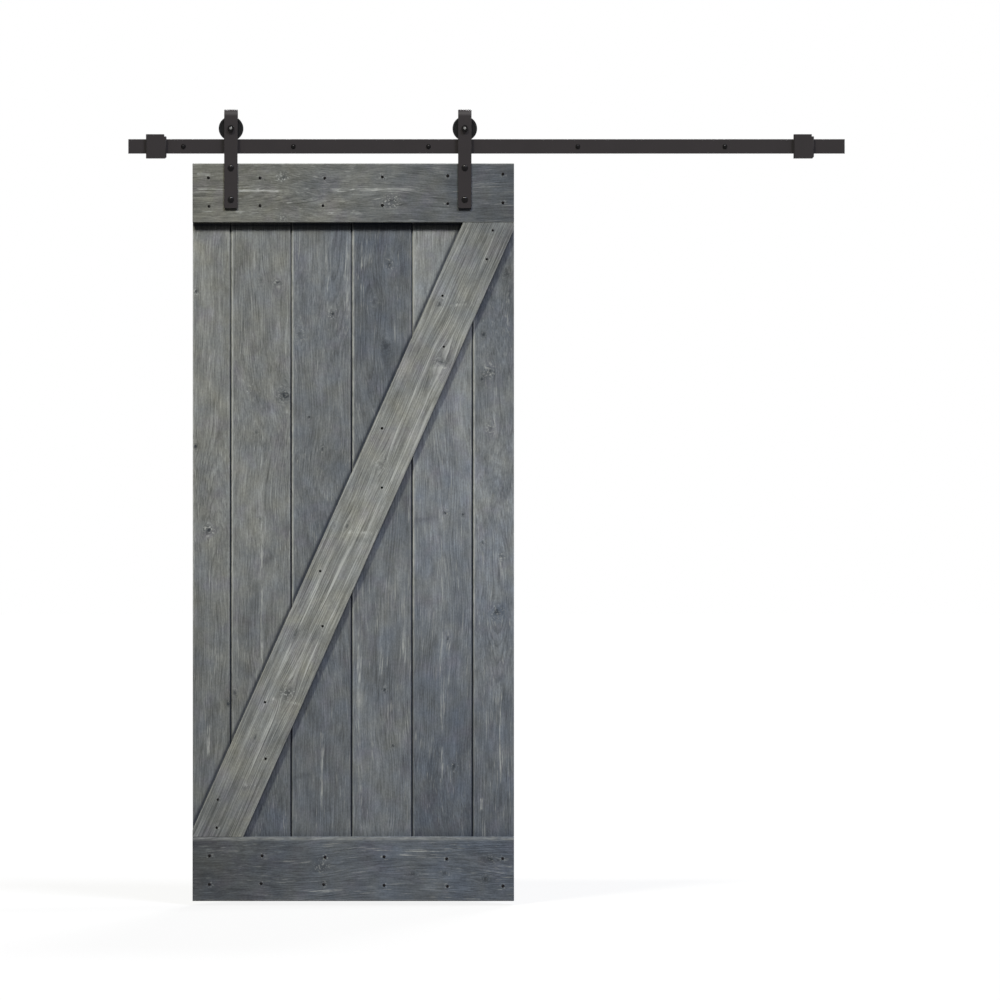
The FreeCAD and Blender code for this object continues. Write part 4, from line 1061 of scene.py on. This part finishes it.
class DOOR_OT_hanger_bolts(bpy.types.Operator):
    """Put the domed bolts and their flanged nuts through straps, ledge and boards"""

    bl_idname = "door.hanger_bolts"
    bl_label = "Hanger bolts"

    def execute(self, context):
        profile = [(-10.5, 0), (-10.5, 3.3), (-11.2, 4), (-22, 4), (-54, 4), *dome(-54, 9, 4.6, 1.2, 10)]
        bolt = lathe("hanger_bolt", profile, segments=40, thread=(-22, -11.2, 0.5, 1.25))
        nut = hexagon_nut("nut", 13, -20, -12, 4.02)
        flange = lathe("flange", [(-20, 4.02), (-20, 8.2), (-19.6, 8.5), (-18.6, 8.5), (-17.6, 7.2), (-17.6, 4.02),
                                  (-20, 4.02)], segments=40)
        places = [(x, 0, z) for x in HANGER_X for z in HANGER_BOLT_Z]
        for name, patterns, kind in (("hanger_bolts", (bolt,), "bolt"), ("hanger_nuts", (nut, flange), "nut")):
            add_copies(name, patterns, places,
                       [f"{side}_{level}_{kind}" for side in SIDES for level in ("upper", "lower")])
        return {"FINISHED"}


class DOOR_OT_axles(bpy.types.Operator):
    """Put the axle bolts, their nuts and the bushes through the straps"""

    bl_idname = "door.axles"
    bl_label = "Axles"

    def execute(self, context):
        shank = lathe("shank", [(20, 0), (20, 5), (-16, 5), (-28.4, 5), (-29.0, 4.4), (-29.0, 0)], segments=40,
                      thread=(-28.9, -16, 0.55, 1.5))
        tip = lathe("tip", [(-28.9, 0), (-28.9, 3.8), (-29.3, 3.8), (-29.5, 3.5), (-29.5, 0)], segments=40)
        head = hexagon_nut("head", 17, 20, 26, 0.01)
        nut = hexagon_nut("nut", 17, -28, -20, 5.02)
        bushes = [lathe("bush", [(back, 5.05), (front, 5.05), (front, 7.5), (front + 0.5, 8), (back - 0.5, 8),
                                 (back, 7.5), (back, 5.05)], segments=40)
                  for back, front in ((14, 9.2), (-9.2, -14))]
        # The bolts' ends were faced bright after the black finish.
        for name, patterns, kinds, slot in (
                ("axle_bolts", (shank, head), ("axle_bolt",), "fastener_steel"),
                ("axle_tips", (tip,), ("axle_bolt",), "bush_steel"),
                ("axle_nuts", (nut,), ("axle_nut",), "fastener_steel"),
                ("bushes", bushes, ("front_bush", "back_bush"), "bush_steel")):
            add_copies(name, patterns, [(x, AXLE_Y, AXLE_Z) for x in HANGER_X],
                       [f"{side}_{kind}" for side in SIDES for kind in kinds], slot)
        return {"FINISHED"}


class DOOR_OT_wheels(bpy.types.Operator):
    """Turn the grooved wheels and press in their bearings"""

    bl_idname = "door.wheels"
    bl_label = "Wheels"

    def execute(self, context):
        wheel = mirrored([(9, 13), (9, 17.5), (7.8, 18.5), (7.8, 28), (9, 29), (9, 34), (8.7, 34.7), (8, 35),
                          (5.4, 35), (5.0, 34.6), (4.0, 30)])
        bearing = mirrored([(9, 5.05), (9, 7.3), (8.75, 7.55), (8.4, 7.55), (8.4, 10.5), (8.75, 10.5), (9, 10.75),
                            (9, 12.8), (8.8, 13)])
        for side, x in zip(SIDES, HANGER_X):
            for name, profile, segments, slot, kind in (
                    (f"{side}_nylon_wheel", wheel, 96, "wheel_nylon", "wheel"),
                    (f"{side}_ball_bearing", bearing, 64, "bearing_steel", "bearing")):
                mesh = lathe(name, profile, (x, AXLE_Y, AXLE_Z), segments)
                add_piece(name, mesh, f"{side}_roller", slot, (f"{side}_{kind}",))
        return {"FINISHED"}


class DOOR_OT_stage(bpy.types.Operator):
    """Set the floor, the lamps and the camera"""

    bl_idname = "door.stage"
    bl_label = "Floor, lamps and camera"

    def execute(self, context):
        lay_floor(context.scene.door_stage)
        hang_lamps(context.scene.door_stage)
        light_room(context.scene.door_stage)
        set_camera()
        context.scene.view_settings.view_transform = "Standard"
        return {"FINISHED"}


def seen(add):
    """One for the rays that show a surface to the eye: straight, or by way of gloss or glass."""
    path = add("LightPath").outputs
    shown = path["Is Camera Ray"]
    for ray in ("Is Glossy Ray", "Is Transmission Ray"):
        shown = add("Math", (shown, path[ray]), operation="MAXIMUM")
    return shown


def lay_floor(stage):
    """Pale floor under the leaf. The eye sees it almost white with the door's soft shadow on it."""
    level, reach = LEAF_FOOT * MM - stage.floor_drop, 60
    mesh = bpy.data.meshes.new("floor")
    mesh.from_pydata([(x * reach, y * reach, level) for x, y in CORNERS], [], [(0, 1, 2, 3)])
    linked("floor", mesh)
    material, add = fresh_material("Pale matt floor")
    shown = seen(add)
    tint = add("Mix", (shown, (*linear("3C3C3C"), 1), (*linear("BEBEBE"), 1)), data_type="RGBA")
    mostly = add("Math", (shown, 0.8), operation="MULTIPLY")
    white = add("Emission", ((1, 1, 1, 1), 1))
    add("OutputMaterial", (add("MixShader", (mostly, add("BsdfDiffuse", (tint,)), white)),))
    mesh.materials.append(material)


def hang_lamps(stage):
    """Two soft lamps high in front, and two behind for the back."""
    # Degrees left of straight in front, degrees up, light on the face, softness, the face it is for.
    for name, aside, height, level, width, facing, tint in (
            ("right front lamp", -31, 50, stage.right_light, 16, 0, (0.94, 0.965, 1.11)),
            ("left front lamp", 24, 51, stage.left_light, 7, 0, (1.06, 1.03, 0.87)),
            ("back lamp", 190, 38, 0.62, 12, 180, (1, 1, 1)),
            ("right back lamp", 250, 30, 0.42, 12, 270, (1, 1, 1))):
        aside, up, face = math.radians(aside), math.radians(height), math.radians(facing)
        lamp = bpy.data.lights.new(name, "SUN")
        lamp.energy = level * math.pi / (math.cos(up) * math.cos(aside - face))
        lamp.angle = math.radians(width)
        lamp.color = tint
        linked(name, lamp).rotation_euler = (math.pi / 2 - up, 0, -aside)


def light_room(stage):
    """Dim light all round, which the eye sees as white."""
    world = bpy.data.worlds.new("white room")
    bpy.context.scene.world = world
    world.use_nodes = True
    world.node_tree.nodes.clear()
    add = partial(node, world.node_tree)
    level = add("MapRange", (seen(add), 0, 1, stage.sky, 1))
    add("OutputWorld", (add("Background", ((1, 1, 1, 1), level)),))


def set_camera():
    """Straight on through a long lens, with the leaf and the whole rail across the frame's width."""
    camera = bpy.data.cameras.new("camera")
    sensor, far, frame_width = 36.0, 24.0, 2.844
    camera.sensor_width = sensor
    camera.lens = sensor * far / frame_width
    camera.clip_end = 200.0
    holder = linked("camera", camera)
    holder.location = (0.2036, LEAF_FACE * MM - far, -1.0062)
    holder.rotation_euler = (math.pi / 2, 0, 0)
    bpy.context.scene.camera = holder


class DOOR_PT_panel(bpy.types.Panel):
    """The door's settings, and a button for each of its makers"""

    bl_label = "Sliding door"
    bl_idname = "DOOR_PT_panel"
    bl_space_type = "VIEW_3D"
    bl_region_type = "UI"
    bl_category = "Door"

    def draw(self, context):
        for title, group in SETTING_GROUPS.items():
            box = self.layout.box()
            box.label(text=group.bl_rna.name)
            for name in group.__annotations__:
                box.prop(getattr(context.scene, title), name)
        for maker in MAKERS:
            self.layout.operator(maker.bl_idname)


SETTING_GROUPS = {"door_wood": DoorWood, "door_steel": DoorSteel, "door_nails": DoorNails, "door_stage": DoorStage}
MAKERS = (DOOR_OT_boards, DOOR_OT_ledges, DOOR_OT_brace, DOOR_OT_nails, DOOR_OT_rail, DOOR_OT_rail_bolts,
          DOOR_OT_straps, DOOR_OT_hanger_bolts, DOOR_OT_axles, DOOR_OT_wheels, DOOR_OT_stage)


def register():
    """Make the settings, the makers and the panel known."""
    for title, group in SETTING_GROUPS.items():
        bpy.utils.register_class(group)
        setattr(bpy.types.Scene, title, bpy.props.PointerProperty(type=group))
    for kind in (*MAKERS, DOOR_PT_panel):
        bpy.utils.register_class(kind)


def unregister():
    """Take them away again."""
    for kind in (DOOR_PT_panel, *reversed(MAKERS)):
        bpy.utils.unregister_class(kind)
    for title, group in SETTING_GROUPS.items():
        delattr(bpy.types.Scene, title)
        bpy.utils.unregister_class(group)


def main():
    """Make the settings known, then every piece."""
    register()
    for maker in MAKERS:
        family, name = maker.bl_idname.split(".")
        getattr(getattr(bpy.ops, family), name)()


if __name__ == "__main__":
    main()
